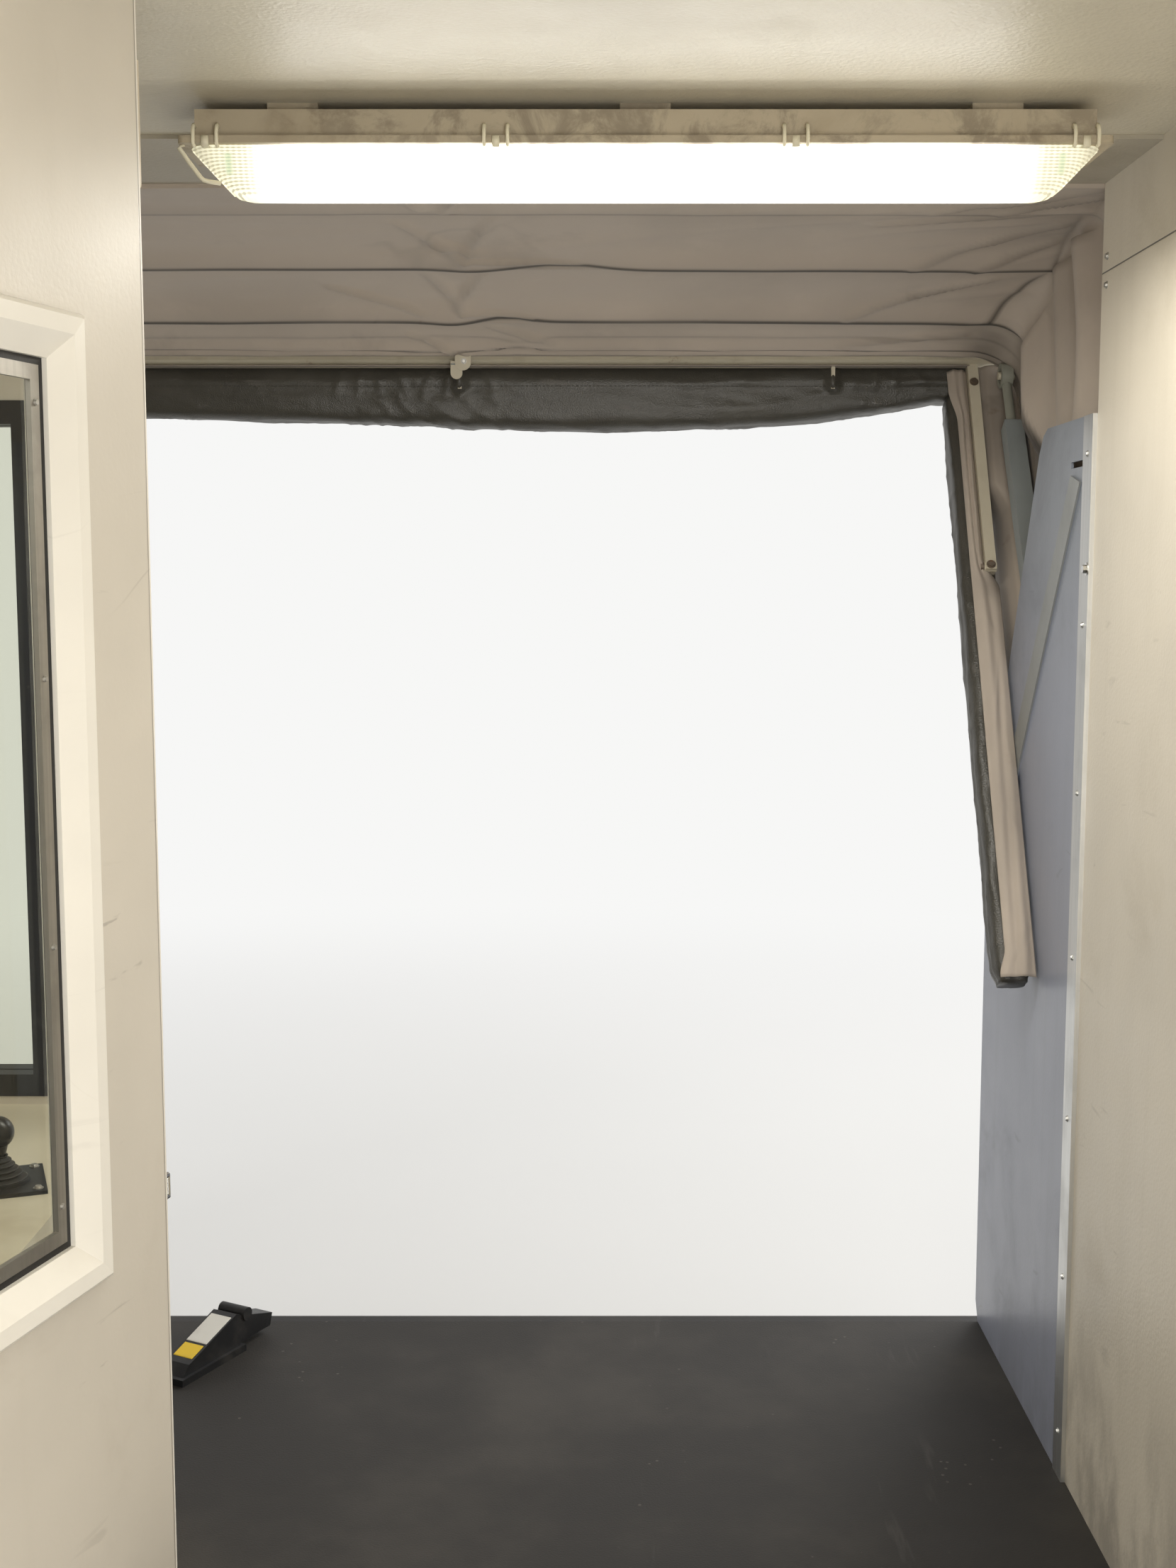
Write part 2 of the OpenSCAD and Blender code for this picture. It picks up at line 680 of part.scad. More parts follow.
// Lamp housing under the ceiling, with its rim
module lamp_housing() {
  body_w = lamp_w - 24;
  spacer_b = body_w - 40;
  color([0.74, 0.7, 0.6]) translate([lamp_x, lamp_y, 0]) union() {
    translate([-lamp_l / 2 + 22, -body_w / 2, rim_z + rim_t]) cube([lamp_l - 44, body_w, lamp_h - lamp_gap]);
    for (x = [-0.38, 0, 0.38]) translate([x * lamp_l - 35, -spacer_b / 2, rim_z + rim_t])
      cube([70, spacer_b, lamp_h]);
    difference() {
      block(-lamp_l / 2, lamp_l / 2, -lamp_w / 2, lamp_w / 2, rim_z, rim_z + rim_t);
      for (sx = [-1, 1], sy = [-1, 1]) translate([sx * (lamp_l / 2 - 8), sy * (lamp_w / 2 - 8), rim_z - 1])
        difference() {
          translate([sx > 0 ? 0 : -9, sy > 0 ? 0 : -9, 0]) cube([9, 9, rim_t + 2]);
          cylinder(h = rim_t + 2, r = 8);
        }
    }
  }
}

// Two tubes between their holders, seen through the lens
module lamp_tubes() {
  tube_r = 13;
  span = lamp_l - 150;
  color([0.97, 0.97, 0.92]) translate([lamp_x, lamp_y, rim_z - 32]) union() {
    for (sy = [-1, 1]) translate([-span / 2, sy * 27, 0]) rotate([0, 90, 0]) cylinder(h = span, r = tube_r);
    for (sx = [-1, 1]) translate([sx * (span / 2 - 8) - 9, -43, -14]) cube([18, 86, 46]);
  }
}

// Prismatic lens with sloping sides and ends, hollow round the tubes
module lens_shape(inset) {
  hull() {
    translate([-lamp_l / 2 + 12 + inset, -lamp_w / 2 + 10 + inset, -1])
      cube([lamp_l - 24 - 2 * inset, lamp_w - 20 - 2 * inset, 1]);
    for (sx = [-1, 1]) translate([sx * (lamp_l / 2 - 92 - inset), 0, -lens_h + 20 + inset]) rotate([90, 0, 0])
      cylinder(h = lamp_w - 56 - 2 * inset, r = 20, center = true, $fn = 32);
  }
}

module lamp_lens() {
  color([1, 0.98, 0.9, 0.8]) translate([lamp_x, lamp_y, rim_z]) difference() {
    lens_shape(0);
    translate([0, 0, 0.01]) lens_shape(4);
  }
}

// Spring clips over the rim and the wire bail at the left end
module lamp_clips() {
  wire = 2.5;
  color([0.8, 0.78, 0.7]) translate([lamp_x, lamp_y, 0]) {
    for (x = [-0.47, -0.16, 0.16, 0.47], s = [-1, 1]) translate([x * lamp_l, s * (lamp_w / 2), rim_z + 2])
      union() {
        translate([-9, s > 0 ? 0 : -4, -10]) cube([18, 4, 26]);
        translate([-9, s > 0 ? -6 : -4, -10]) cube([18, 10, 5]);
      }
    translate([-lamp_l / 2, 0, rim_z - 1]) {
      for (s = [-1, 1]) translate([0, s * 62, 0]) rotate([0, 140, 0]) cylinder(h = 66, r = wire);
      translate([66 * sin(140), -62 - wire, 66 * cos(140)]) rotate([-90, 0, 0]) cylinder(h = 124 + 2 * wire, r = wire);
    }
  }
}

// Sensor shoe that lies on the floor before the cab
module floor_sensor() {
  color([0.12, 0.12, 0.12]) translate([-95, y_front + 530, floor_h]) rotate([0, 0, -28]) union() {
    translate([-38, -150, 0]) cube([76, 200, 14]);
    along_x(-30, 30) polygon([[-140, 14], [40, 14], [60, 70], [30, 84], [-120, 34]]);
    along_x(-22, 22) polygon([[40, 14], [150, 14], [158, 40], [60, 70]]);
    translate([-34, 62, 74]) rotate([0, 90, 0]) cylinder(h = 68, r = 14);
  }
}

// Places its children on the booth door, drawn shut with the hinge line at the origin
module on_door() {
  translate([booth_x + hinge_proud, hinge_y, door_z]) rotate([0, 0, -door_ajar])
    translate([-hinge_proud, 0, 0]) children();
}

// Door leaf with the window opening and the painted strip on its free edge
module door_leaf() {
  cut = lite_b - 22;
  z0 = lite_sill - door_gap;
  color([0.84, 0.81, 0.75]) on_door() {
    difference() {
      union() {
        block(-door_t, 0, 4, door_w, 0, door_h);
        for (z = [120, door_h - 260]) {
          translate([hinge_proud, 0, z]) cylinder(h = barrel_l, r = barrel_r);
          block(-4, 4, 0, 50, z, z + barrel_l);
        }
        block(-9, -1, door_w - 1, door_w + 5, door_h - 64 - strip_l, door_h - 64);
        translate([-5, door_w - 1, door_h - 64 - strip_l]) rotate([-90, 0, 0]) cylinder(h = 6, r = 4);
      }
      block(-door_t - 1, 1, lite_edge + cut, door_w - lite_edge - cut, z0 + cut, z0 + lite_h - cut);
    }
  }
}

// One mitred side of the window frame, lying along +Y with its outer edge at X = 0
module mitred(len, b, sill) {
  intersection() {
    rotate([-90, 0, 0]) linear_extrude(len) polygon([[0, 0], [3, -lite_proud + 3], [7, -lite_proud],
      [b * 0.42, -lite_proud + 1], [b - 8, sill], [b - 8, sill + 6], [b - 22, sill + 6], [b - 22, 0]]);
    translate([0, 0, -60]) linear_extrude(120) polygon([[0, 0], [b, b], [b, len - b], [0, len]]);
  }
}

// Window frame moulding on both faces of the door
module door_frame() {
  w = lite_w;
  h = lite_h;
  z0 = lite_sill - door_gap;
  color([0.9, 0.88, 0.83]) on_door() for (face = [0, 1])
    translate([face == 0 ? 0 : -door_t, lite_edge, z0]) mirror([face, 0, 0])
      rotate([0, 90, 0]) rotate([0, 0, 90]) union() {
        mirror([0, 1, 0]) rotate([0, 0, 0]) translate([0, -h, 0]) frame_ring(w, h);
      }
}

// Four mitred sides set round a window of given width and height
module frame_ring(w, h) {
  translate([0, 0, 0]) mitred(h, lite_b, 8);
  translate([w, 0, 0]) mirror([1, 0, 0]) mitred(h, lite_b, 8);
  mirror([1, -1, 0]) mitred(w, lite_b, 8);
  translate([0, h, 0]) mirror([0, 1, 0]) mirror([1, -1, 0]) mitred(w, lite_b, 8);
}

// Flat ring in the plane of the door's window
module door_ring(outer, b, x0, x1) {
  z0 = lite_sill - door_gap;
  difference() {
    block(x0, x1, lite_edge + outer, door_w - lite_edge - outer, z0 + outer, z0 + lite_h - outer);
    block(x0 - 1, x1 + 1, lite_edge + outer + b, door_w - lite_edge - outer - b, z0 + outer + b,
      z0 + lite_h - outer - b);
  }
}

module door_gasket() {
  mid = -door_t / 2;
  color([0.08, 0.08, 0.08]) on_door() {
    door_ring(lite_b - 12, gasket_b + 4, mid + glass_t / 2, -14);
    door_ring(lite_b - 12, gasket_b + 4, -door_t + 14, mid - glass_t / 2);
  }
}

module door_bead() {
  mid = -door_t / 2;
  color([0.5, 0.48, 0.44]) on_door() door_ring(lite_b - 8 + gasket_b, bead_b, mid + glass_t / 2, mid + glass_t / 2 + 6);
}

module door_glass() {
  z0 = lite_sill - door_gap;
  o = lite_b - 12;
  color([0.8, 0.85, 0.85, 0.3]) on_door() block(-door_t / 2 - glass_t / 2, -door_t / 2 + glass_t / 2,
    lite_edge + o, door_w - lite_edge - o, z0 + o, z0 + lite_h - o);
}

// Small chrome loop that stands out from the door's free edge
module door_loop() {
  half = 13;
  wire = 3.5;
  reach = 14;
  color("silver") on_door() translate([-7, door_w, 870 - door_gap]) union() {
    for (z = [-half, half]) {
      translate([0, 0, z]) rotate([-90, 0, 0]) cylinder(h = reach, r = wire);
      translate([0, reach, z]) sphere(r = wire);
    }
    translate([0, reach, -half]) cylinder(h = 2 * half, r = wire);
  }
}

floor_box();
floor_deck();
floor_rubber();
floor_buffer();
right_wall();
left_wall();
rear_wall();
portal_flange();
booth_wall();
booth_front();
window_rubber();
window_glass();
ceiling();
roof();
front_header();
edge_angles();
console_body();
console_top();
stick_flange();
stick_boot();
stick();
lamp_housing();
lamp_tubes();
lamp_lens();
lamp_clips();
guards();
canopy_pivots();
floor_sensor();
door_leaf();
door_frame();
door_gasket();
door_bead();
door_glass();
door_loop();
bow_1();
bow_2();
bow_3();
bow_4();
cloth_1();
cloth_2();
cloth_3();
cloth_4();
front_pads();
strut_tubes();
strut_rods();
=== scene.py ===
import math
import bmesh
import bpy
from bpy.props import FloatProperty, FloatVectorProperty, IntProperty, PointerProperty
from mathutils import Matrix, Vector, noise
from mathutils.bvhtree import BVHTree


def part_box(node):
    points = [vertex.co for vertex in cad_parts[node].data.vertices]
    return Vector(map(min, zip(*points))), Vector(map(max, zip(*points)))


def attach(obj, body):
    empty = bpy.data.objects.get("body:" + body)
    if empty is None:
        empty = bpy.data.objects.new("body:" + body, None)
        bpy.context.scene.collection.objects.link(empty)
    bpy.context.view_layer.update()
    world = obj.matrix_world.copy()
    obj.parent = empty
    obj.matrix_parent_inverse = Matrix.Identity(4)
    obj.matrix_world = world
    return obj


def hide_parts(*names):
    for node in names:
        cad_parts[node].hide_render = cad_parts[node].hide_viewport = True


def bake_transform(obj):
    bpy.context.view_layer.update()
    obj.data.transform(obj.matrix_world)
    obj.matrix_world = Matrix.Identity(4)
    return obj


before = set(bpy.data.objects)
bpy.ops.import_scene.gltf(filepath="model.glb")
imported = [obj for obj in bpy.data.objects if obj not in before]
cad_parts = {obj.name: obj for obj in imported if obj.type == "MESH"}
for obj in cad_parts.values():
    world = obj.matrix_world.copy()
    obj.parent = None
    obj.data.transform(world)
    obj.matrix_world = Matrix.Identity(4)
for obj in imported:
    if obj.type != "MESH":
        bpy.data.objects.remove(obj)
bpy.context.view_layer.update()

bl_info = {
    "name": "Jet Bridge Cab Finish",
    "version": (1, 0, 0),
    "blender": (4, 5, 0),
    "location": "View3D > Sidebar > Cab",
    "description": "Paint, cloth, padding, fasteners and light for a jet bridge cab",
    "category": "Object",
}

X_IN = 1.525            # inner faces of the side walls
FLOOR = 0.3             # top of the floor
PIVOT_Y = 1.116         # the line that the bows turn on
PIVOT_Z = 0.9
CLOTH_R = 1.6525        # cloth and bow tubes, measured from that line
BOW_R = 1.6703
CHEEK_X = 1.588         # the canopy's side faces
HEM_R = 0.15            # lower hem of the cheeks
BOW_ANGLES = (85.5, 75.0, 67.3, 61.7)
BACK_Y = 1.9145         # rear face of the front pad
PAD_DEEP = 0.0555       # half of its depth
PAD_END = 1.512         # half of its length
PAD_TOP = 2.3615
FLAP_R = 0.305          # lower ends of the flaps on the front bow's legs
DOOR_HINGE = (-0.074, -0.804, 0.308)
DOOR_AJAR = 16.0
LAMP_X = 0.754          # middle of the ceiling lamp
BOOT_TOP_R = 0.0105
EYE = (0.675, -2.05, 1.9)
EYE_PITCH = 6.45        # degrees downwards
FOCAL_PX = 2556.0
PHOTO_TALL_PX = 2212.0


# ---------------------------------------------------------------- shader writing

class Wire:
    """A shader socket whose arithmetic adds Math nodes to its material."""

    def __init__(self, look, socket):
        self.look = look
        self.socket = socket

    def sum(self, operation, first, second=0.0):
        part = self.look.node("ShaderNodeMath", {"operation": operation}, {0: first, 1: second})
        return part["Value"]

    def __add__(self, other):
        return self.sum("ADD", self, other)

    def __radd__(self, other):
        return self.sum("ADD", other, self)

    def __sub__(self, other):
        return self.sum("SUBTRACT", self, other)

    def __rsub__(self, other):
        return self.sum("SUBTRACT", other, self)

    def __mul__(self, other):
        return self.sum("MULTIPLY", self, other)

    def __rmul__(self, other):
        return self.sum("MULTIPLY", other, self)

    def __truediv__(self, other):
        return self.sum("DIVIDE", self, other)

    def __pow__(self, other):
        return self.sum("POWER", self, other)

    def __abs__(self):
        return self.sum("ABSOLUTE", self)

    def top(self, other):
        return self.sum("MAXIMUM", self, other)

    def low(self, other):
        return self.sum("MINIMUM", self, other)

    def step(self, start, end):
        """0 before start, 1 after end, smooth between them; start may be the larger."""
        part = self.look.node("ShaderNodeMapRange", {"interpolation_type": "SMOOTHSTEP"},
                              {0: self, 1: start, 2: end, 3: 0.0, 4: 1.0})
        return part["Result"]


class Part:
    """A node whose outputs are read as wires."""

    def __init__(self, look, node):
        self.look = look
        self.node = node

    def __getitem__(self, name):
        return Wire(self.look, self.node.outputs[name])


class Look:
    """One material, written from its surface inwards."""

    def __init__(self, name, on="Object", **constants):
        self.mat = bpy.data.materials.new(name)
        self.mat.use_nodes = True
        self.tree = self.mat.node_tree
        self.tree.nodes.clear()
        self.surface = self.node("ShaderNodeBsdfPrincipled", {}, {}).node
        self.out = self.node("ShaderNodeOutputMaterial", {}, {"Surface": self.surface.outputs[0]}).node
        for key, value in constants.items():
            self.surface.inputs[key.replace("_", " ").title().replace("Ior", "IOR")].default_value = value
        self.place = self.node("ShaderNodeTexCoord", {}, {})[on]
        axes = self.node("ShaderNodeSeparateXYZ", {}, {0: self.place})
        self.x, self.y, self.z = axes["X"], axes["Y"], axes["Z"]

    def node(self, kind, settings, values):
        made = self.tree.nodes.new(kind)
        for key, value in settings.items():
            if key == "stops":
                ramp = made.color_ramp
                while len(ramp.elements) < len(value):
                    ramp.elements.new(0.5)
                for stop, (at, shade) in zip(ramp.elements, value):
                    stop.position = at
                    stop.color = shade
            else:
                setattr(made, key, value)
        for key, value in values.items():
            self.feed(made.inputs[key], value)
        return Part(self, made)

    def feed(self, socket, value):
        if isinstance(value, Wire):
            value = value.socket
        if isinstance(value, bpy.types.NodeSocket):
            self.tree.links.new(value, socket)
        elif isinstance(value, (tuple, list)) and len(value) == 3 and socket.type == "RGBA":
            socket.default_value = (*value, 1.0)
        else:
            socket.default_value = value

    def stretched(self, along):
        return self.node("ShaderNodeVectorMath", {"operation": "MULTIPLY"},
                         {0: self.place, 1: along})["Vector"]

    def cloudy(self, scale, detail=3.0, rough=0.5, along=None, warp=0.0):
        place = self.place if along is None else self.stretched(along)
        return self.node("ShaderNodeTexNoise", {},
                         {"Vector": place, "Scale": scale, "Detail": detail, "Roughness": rough,
                          "Distortion": warp})["Fac"]

    def cells(self, scale, feature="F1", along=None):
        place = self.place if along is None else self.stretched(along)
        return self.node("ShaderNodeTexVoronoi", {"feature": feature},
                         {"Vector": place, "Scale": scale})["Distance"]

    def waves(self, scale, direction="X", warp=0.0, detail=0.0):
        return self.node("ShaderNodeTexWave", {"bands_direction": direction},
                         {"Vector": self.place, "Scale": scale, "Distortion": warp,
                          "Detail": detail})["Fac"]

    def mix(self, first, second, share):
        made = self.tree.nodes.new("ShaderNodeMix")
        made.data_type = "RGBA"
        self.feed(made.inputs[0], share)
        self.feed(made.inputs[6], first)
        self.feed(made.inputs[7], second)
        return Wire(self, made.outputs[2])

    def bumped(self, height, distance, strength=1.0):
        part = self.node("ShaderNodeBump", {}, {"Height": height, "Distance": distance,
                                                "Strength": strength})
        self.feed(self.surface.inputs["Normal"], part["Normal"])

    def scratches(self, scale, along, thin=0.006, sparse=0.55):
        """Thin hair lines, only in some places."""
        line = abs(self.cloudy(scale, 2.0, 0.4, along, 0.6) - 0.5).step(thin, 0.0)
        return line * self.cloudy(scale * 0.45, 2.0).step(sparse, sparse + 0.1)

    def finish(self, colour, roughness):
        self.feed(self.surface.inputs["Base Color"], colour)
        self.feed(self.surface.inputs["Roughness"], roughness)
        return self.mat


def linear(red, green, blue):
    """A colour as it shows on a screen, turned into the renderer's own numbers."""
    return tuple(c / 12.92 if c <= 0.04045 else ((c + 0.055) / 1.055) ** 2.4
                 for c in (red / 255, green / 255, blue / 255))


def paint(name, colour, rough=0.42, peel=0.35, grime=0.35, scuffs=0.0, streaks=0.0, marks=0.35,
          seams=None, kick=None, rust=0.0, ridge_painted_shade=None, leaf_edge=None,
          blotch=0.0, foot_painted_reflection=None):
    """Sprayed paint on sheet metal, with hand grime, scuffs, run marks and scratches.

    seams: axis, places and half width of panel joints. kick: height above which shoe marks fade.
    ridge_painted_shade: half width and colour of a pressed ridge, a painted shade that stands in for its shading.
    leaf_edge: width of the door leaf, for the groove line, the painted highlight and the tan edge face at its free
    edge. blotch: share of soot spots. foot_painted_reflection: colour that the lower part turns to, a painted
    bluish reflection.
    """
    look = Look(name, specular_ior_level=0.45)
    cloud = look.cloudy(1.7, 4.0)
    fine = look.cloudy(9.0, 5.0, 0.6)
    shade = look.mix(colour, tuple(c * 0.86 for c in colour), cloud.step(0.35, 0.7))
    # Painted reflection: below 2.1 m the paint turns to a bluish colour, fully so under 1.6 m, standing in for
    # bluish light reflected onto it.
    if foot_painted_reflection is not None:
        shade = look.mix(shade, foot_painted_reflection, look.z.step(2.1, 1.6))
    # Painted shade: the pressed ridge gets its own flat colour, standing in for its shading, and stays out of the
    # painted reflection below.
    if ridge_painted_shade is not None:
        edge, tone = ridge_painted_shade
        shade = look.mix(shade, tone, abs(look.x).step(edge + 0.0005, edge - 0.0005))
    dirt = look.cloudy(3.1, 6.0, 0.62, warp=0.4).step(0.52, 0.75) * grime
    shade = look.mix(shade, tuple(c * t for c, t in zip(colour, (0.55, 0.5, 0.42))), dirt * 0.6)
    rough_wire = 0.0 + fine * 0.16 + (rough - 0.08) + dirt * 0.25
    if streaks:
        runs = look.cloudy(5.0, 4.0, 0.55, (3.2, 3.2, 0.18)).step(0.5, 0.72) * streaks
        shade = look.mix(shade, tuple(c * t for c, t in zip(colour, (0.5, 0.46, 0.38))), runs * 0.7)
    if kick is not None:
        low = look.z.step(kick + 0.5, kick) * look.cloudy(7.0, 5.0, 0.6, (1.0, 1.0, 0.5)).step(0.38, 0.62)
        low = low * (1.0 - abs(look.x).step(1.54, 1.57) * 0.6)
        shade = look.mix(shade, (0.09, 0.08, 0.07), low * 0.5)
        rough_wire = rough_wire + low * 0.2
    if scuffs:
        rub = look.cloudy(13.0, 3.0, 0.5, (0.5, 0.5, 2.4), 0.8).step(0.66, 0.74)
        rub = rub * look.cloudy(2.3, 2.0).step(0.48, 0.6) * scuffs
        shade = look.mix(shade, (0.16, 0.14, 0.12), rub * 0.55)
        rough_wire = rough_wire + rub * 0.2
    if blotch:
        soot = look.cloudy(12.0, 7.0, 0.72, warp=0.5).step(0.44, 0.6)
        soot = soot * look.cloudy(2.6, 3.0).step(0.36, 0.56) * blotch
        shade = look.mix(shade, (0.14, 0.115, 0.085), soot * 0.5)
        rough_wire = rough_wire + soot * 0.2
    height = look.cloudy(150.0, 2.0) * peel
    if marks:
        hair = look.scratches(4.0, (0.6, 0.6, 1.5)) * marks
        shade = look.mix(shade, (0.2, 0.17, 0.14), hair * 0.75)
        height = height - hair * 0.5
    if seams is not None:
        axis, places, half = seams
        wire = {"x": look.x, "y": look.y, "z": look.z}[axis]
        gap = None
        for at in places:
            one = abs(wire - at).step(half, half * 0.4)
            gap = one if gap is None else gap.top(one)
        shade = look.mix(shade, (0.05, 0.045, 0.04), gap * 0.85)
        height = height - gap * 2.0
    if rust:
        spots = look.cloudy(21.0, 6.0, 0.7).step(0.6, 0.68) * look.cloudy(4.0, 3.0).step(0.5, 0.62) * rust
        shade = look.mix(shade, look.mix((0.16, 0.05, 0.02), (0.30, 0.12, 0.05), fine), spots)
        rough_wire = rough_wire + spots * 0.35
        height = height + spots * 0.8
    if leaf_edge is not None:
        turn = math.radians(DOOR_AJAR)
        out, along = look.x - DOOR_HINGE[0], look.y - DOOR_HINGE[1]
        end = out * math.sin(turn) + along * math.cos(turn) - leaf_edge
        line = abs(end + 0.0042).step(0.0014, 0.0006) * (fine * 0.6 + 0.5)
        shade = look.mix(shade, (0.13, 0.11, 0.09), line * 0.7)
        # Painted highlight: a pale line just inside the free edge, standing in for light catching the edge. Past
        # the edge, the edge face turns tan.
        shade = look.mix(shade, (0.86, 0.83, 0.76), abs(end + 0.001).step(0.0024, 0.0012) * 0.8)
        shade = look.mix(shade, (0.62, 0.54, 0.41), end.step(0.0004, 0.0009))
        height = height - line
    look.bumped(height, 0.0012, 0.6)
    return look.finish(shade, rough_wire.low(0.95))


def rubber(name, colour, rough=0.62, dust=0.4, scuffs=0.5, grain=260.0, deep=0.0006):
    """Rubber or vinyl flooring, dusty and rubbed by feet and wheels."""
    look = Look(name, specular_ior_level=0.4)
    cloud = look.cloudy(2.2, 5.0, 0.6)
    veil = cloud.step(0.4, 0.75) * dust
    shade = look.mix(colour, tuple(0.5 * c + 0.5 * d for c, d in zip(colour, (0.16, 0.145, 0.125))), veil)
    lines = look.cloudy(16.0, 4.0, 0.6, (1.0, 0.12, 1.0)).step(0.62, 0.72) * look.cloudy(3.0, 2.0).step(0.46, 0.62)
    lines = (lines * scuffs).low(1.0)
    shade = look.mix(shade, (0.12, 0.113, 0.105), lines * 0.6)
    spots = look.cells(34.0).step(0.13, 0.07) * look.cloudy(6.0, 2.0).step(0.6, 0.66) * dust
    shade = look.mix(shade, (0.2, 0.18, 0.155), spots * 0.8)
    look.bumped(look.cloudy(grain, 2.0) + lines * 0.6, deep, 0.7)
    return look.finish(shade, (cloud * 0.22 + (rough - 0.1) + lines * 0.1).low(0.95))


def metal(name, colour, rough=0.35, brushed=(1.0, 1.0, 0.03), stain=0.3, rust=0.0):
    """Bare rolled or plated metal with a drawn grain, dull stains and, where asked, rust."""
    look = Look(name, metallic=1.0)
    grain = look.cloudy(220.0, 3.0, 0.6, brushed)
    cloud = look.cloudy(8.0, 5.0, 0.6).step(0.42, 0.7) * stain
    shade = look.mix(colour, tuple(c * 0.55 for c in colour), cloud * 0.8)
    shade = look.mix(shade, tuple(c * 0.8 for c in colour), grain.step(0.4, 0.7) * 0.5)
    rough_wire = grain * 0.15 + (rough - 0.05) + cloud * 0.25
    height = grain
    if rust:
        spots = look.cloudy(30.0, 6.0, 0.7).step(0.5, 0.6) * rust
        shade = look.mix(shade, look.mix((0.13, 0.045, 0.02), (0.32, 0.13, 0.055), look.cloudy(70.0)), spots)
        look.feed(look.surface.inputs["Metallic"], 1.0 - spots)
        rough_wire = rough_wire + spots * 0.5
        height = grain + spots
    look.bumped(height, 0.0002, 0.5)
    return look.finish(shade, rough_wire.low(0.95))


def plastic(name, colour, rough=0.4, grain=600.0, dust=0.3):
    """Moulded plastic with a fine grain, pale scratches and patchy dust."""
    look = Look(name, specular_ior_level=0.5)
    cloud = look.cloudy(14.0, 5.0, 0.6)
    shade = look.mix(colour, tuple(0.6 * c + 0.4 * d for c, d in zip(colour, (0.2, 0.18, 0.15))),
                     cloud.step(0.48, 0.75) * dust)
    shade = look.mix(shade, tuple(c * 1.5 + 0.02 for c in colour),
                     look.scratches(26.0, (1.0, 1.0, 1.0), 0.01, 0.5) * 0.6)
    look.bumped(look.cloudy(grain, 2.0), 0.00025, 0.6)
    return look.finish(shade, (cloud * 0.25 + (rough - 0.1)).low(0.95))


def coated_cloth(name, colour, stain=(0.13, 0.115, 0.095)):
    """Coated canopy cloth: faint weave, paler mottling, water stains and rust, and painted shade, with some dirt,
    along its folds, creases, seams and gaps.
    """
    look = Look(name, on="UV", specular_ior_level=0.35, sheen_weight=0.1, sheen_roughness=0.5)
    soil = look.node("ShaderNodeAttribute", {"attribute_name": "soil"}, {})["Fac"]
    cloud = look.cloudy(1.6, 4.0, 0.5)
    mottled = look.cloudy(9.0, 5.0, 0.6)
    shade = look.mix(colour, tuple(c * 0.84 for c in colour), cloud.step(0.38, 0.72))
    shade = look.mix(shade, tuple(min(1.0, c * 1.1) for c in colour), mottled.step(0.48, 0.8) * 0.5)
    rings = abs(look.cloudy(2.3, 3.0, 0.5, warp=0.4) - 0.58).step(0.03, 0.0)
    rings = rings * look.cloudy(1.3, 2.0).step(0.52, 0.66)
    shade = look.mix(shade, stain, rings * 0.22)
    soak = look.cloudy(3.4, 5.0, 0.65, warp=0.3).step(0.6, 0.8)
    shade = look.mix(shade, stain, (soak * (soil * 1.5 + 0.25)).low(0.6))
    rust = look.cloudy(11.0, 4.0, 0.6).step(0.62, 0.74) * soil.step(0.1, 0.35)
    shade = look.mix(shade, (0.20, 0.10, 0.055), rust * 0.45)
    weave = look.waves(260.0, "X") * 0.5 + look.waves(260.0, "Y") * 0.5
    look.bumped(weave * 0.2 + mottled * 0.35 + look.cloudy(26.0, 4.0, 0.6) * 0.5, 0.0008, 0.7)
    # Painted shade: near black where the stored attribute is high, in folds, creases, seams and gaps, with some
    # dirt.
    shade = look.mix(shade, (0.022, 0.019, 0.016), (soil * 0.92).low(0.9))
    return look.finish(shade, (mottled * 0.2 + 0.58).low(0.95))


def padded_vinyl(name, colour):
    """Charcoal vinyl over foam, shiny on its wrinkles and chalky where it rubs."""
    look = Look(name, on="UV", specular_ior_level=0.5)
    cloud = look.cloudy(4.0, 5.0, 0.6)
    shade = look.mix(colour, tuple(c * 1.35 + 0.01 for c in colour), cloud.step(0.45, 0.72) * 0.7)
    rub = look.cloudy(15.0, 4.0, 0.6, (0.5, 2.0, 1.0)).step(0.6, 0.75)
    shade = look.mix(shade, (0.16, 0.15, 0.135), rub * 0.4)
    pores = look.cells(420.0)
    look.bumped(pores * 0.35 + look.cloudy(60.0, 3.0, 0.6) * 0.6 + look.cloudy(11.0, 4.0) * 1.6, 0.0016, 0.7)
    return look.finish(shade, (cloud * 0.22 + 0.24 + rub * 0.15).low(0.9))


def clear_pane(name):
    """Thin window glass: nearly clear straight on, a mirror at a slant, with faint smears."""
    look = Look(name)
    smear = look.cloudy(3.0, 5.0, 0.6, (1.0, 1.0, 0.4), 0.8).step(0.5, 0.8)
    shade = look.mix((0.93, 0.97, 0.95), (0.82, 0.86, 0.83), smear)
    thin = look.node("ShaderNodeBsdfTransparent", {}, {"Color": (0.925, 0.93, 0.89)})["BSDF"]
    gloss = look.node("ShaderNodeBsdfPrincipled", {}, {"Base Color": shade, "Roughness": smear * 0.12 + 0.02,
                                                      "Metallic": 1.0})["BSDF"]
    edge = look.node("ShaderNodeFresnel", {}, {"IOR": 1.45})["Fac"]
    inside = look.node("ShaderNodeNewGeometry", {}, {})["Backfacing"]
    share = (edge * 0.9 + smear * 0.04) * (1.0 - inside)
    both = look.node("ShaderNodeMixShader", {}, {0: share, 1: thin, 2: gloss})
    look.feed(look.out.inputs["Surface"], both.node.outputs[0])
    look.tree.nodes.remove(look.surface)
    return look.mat


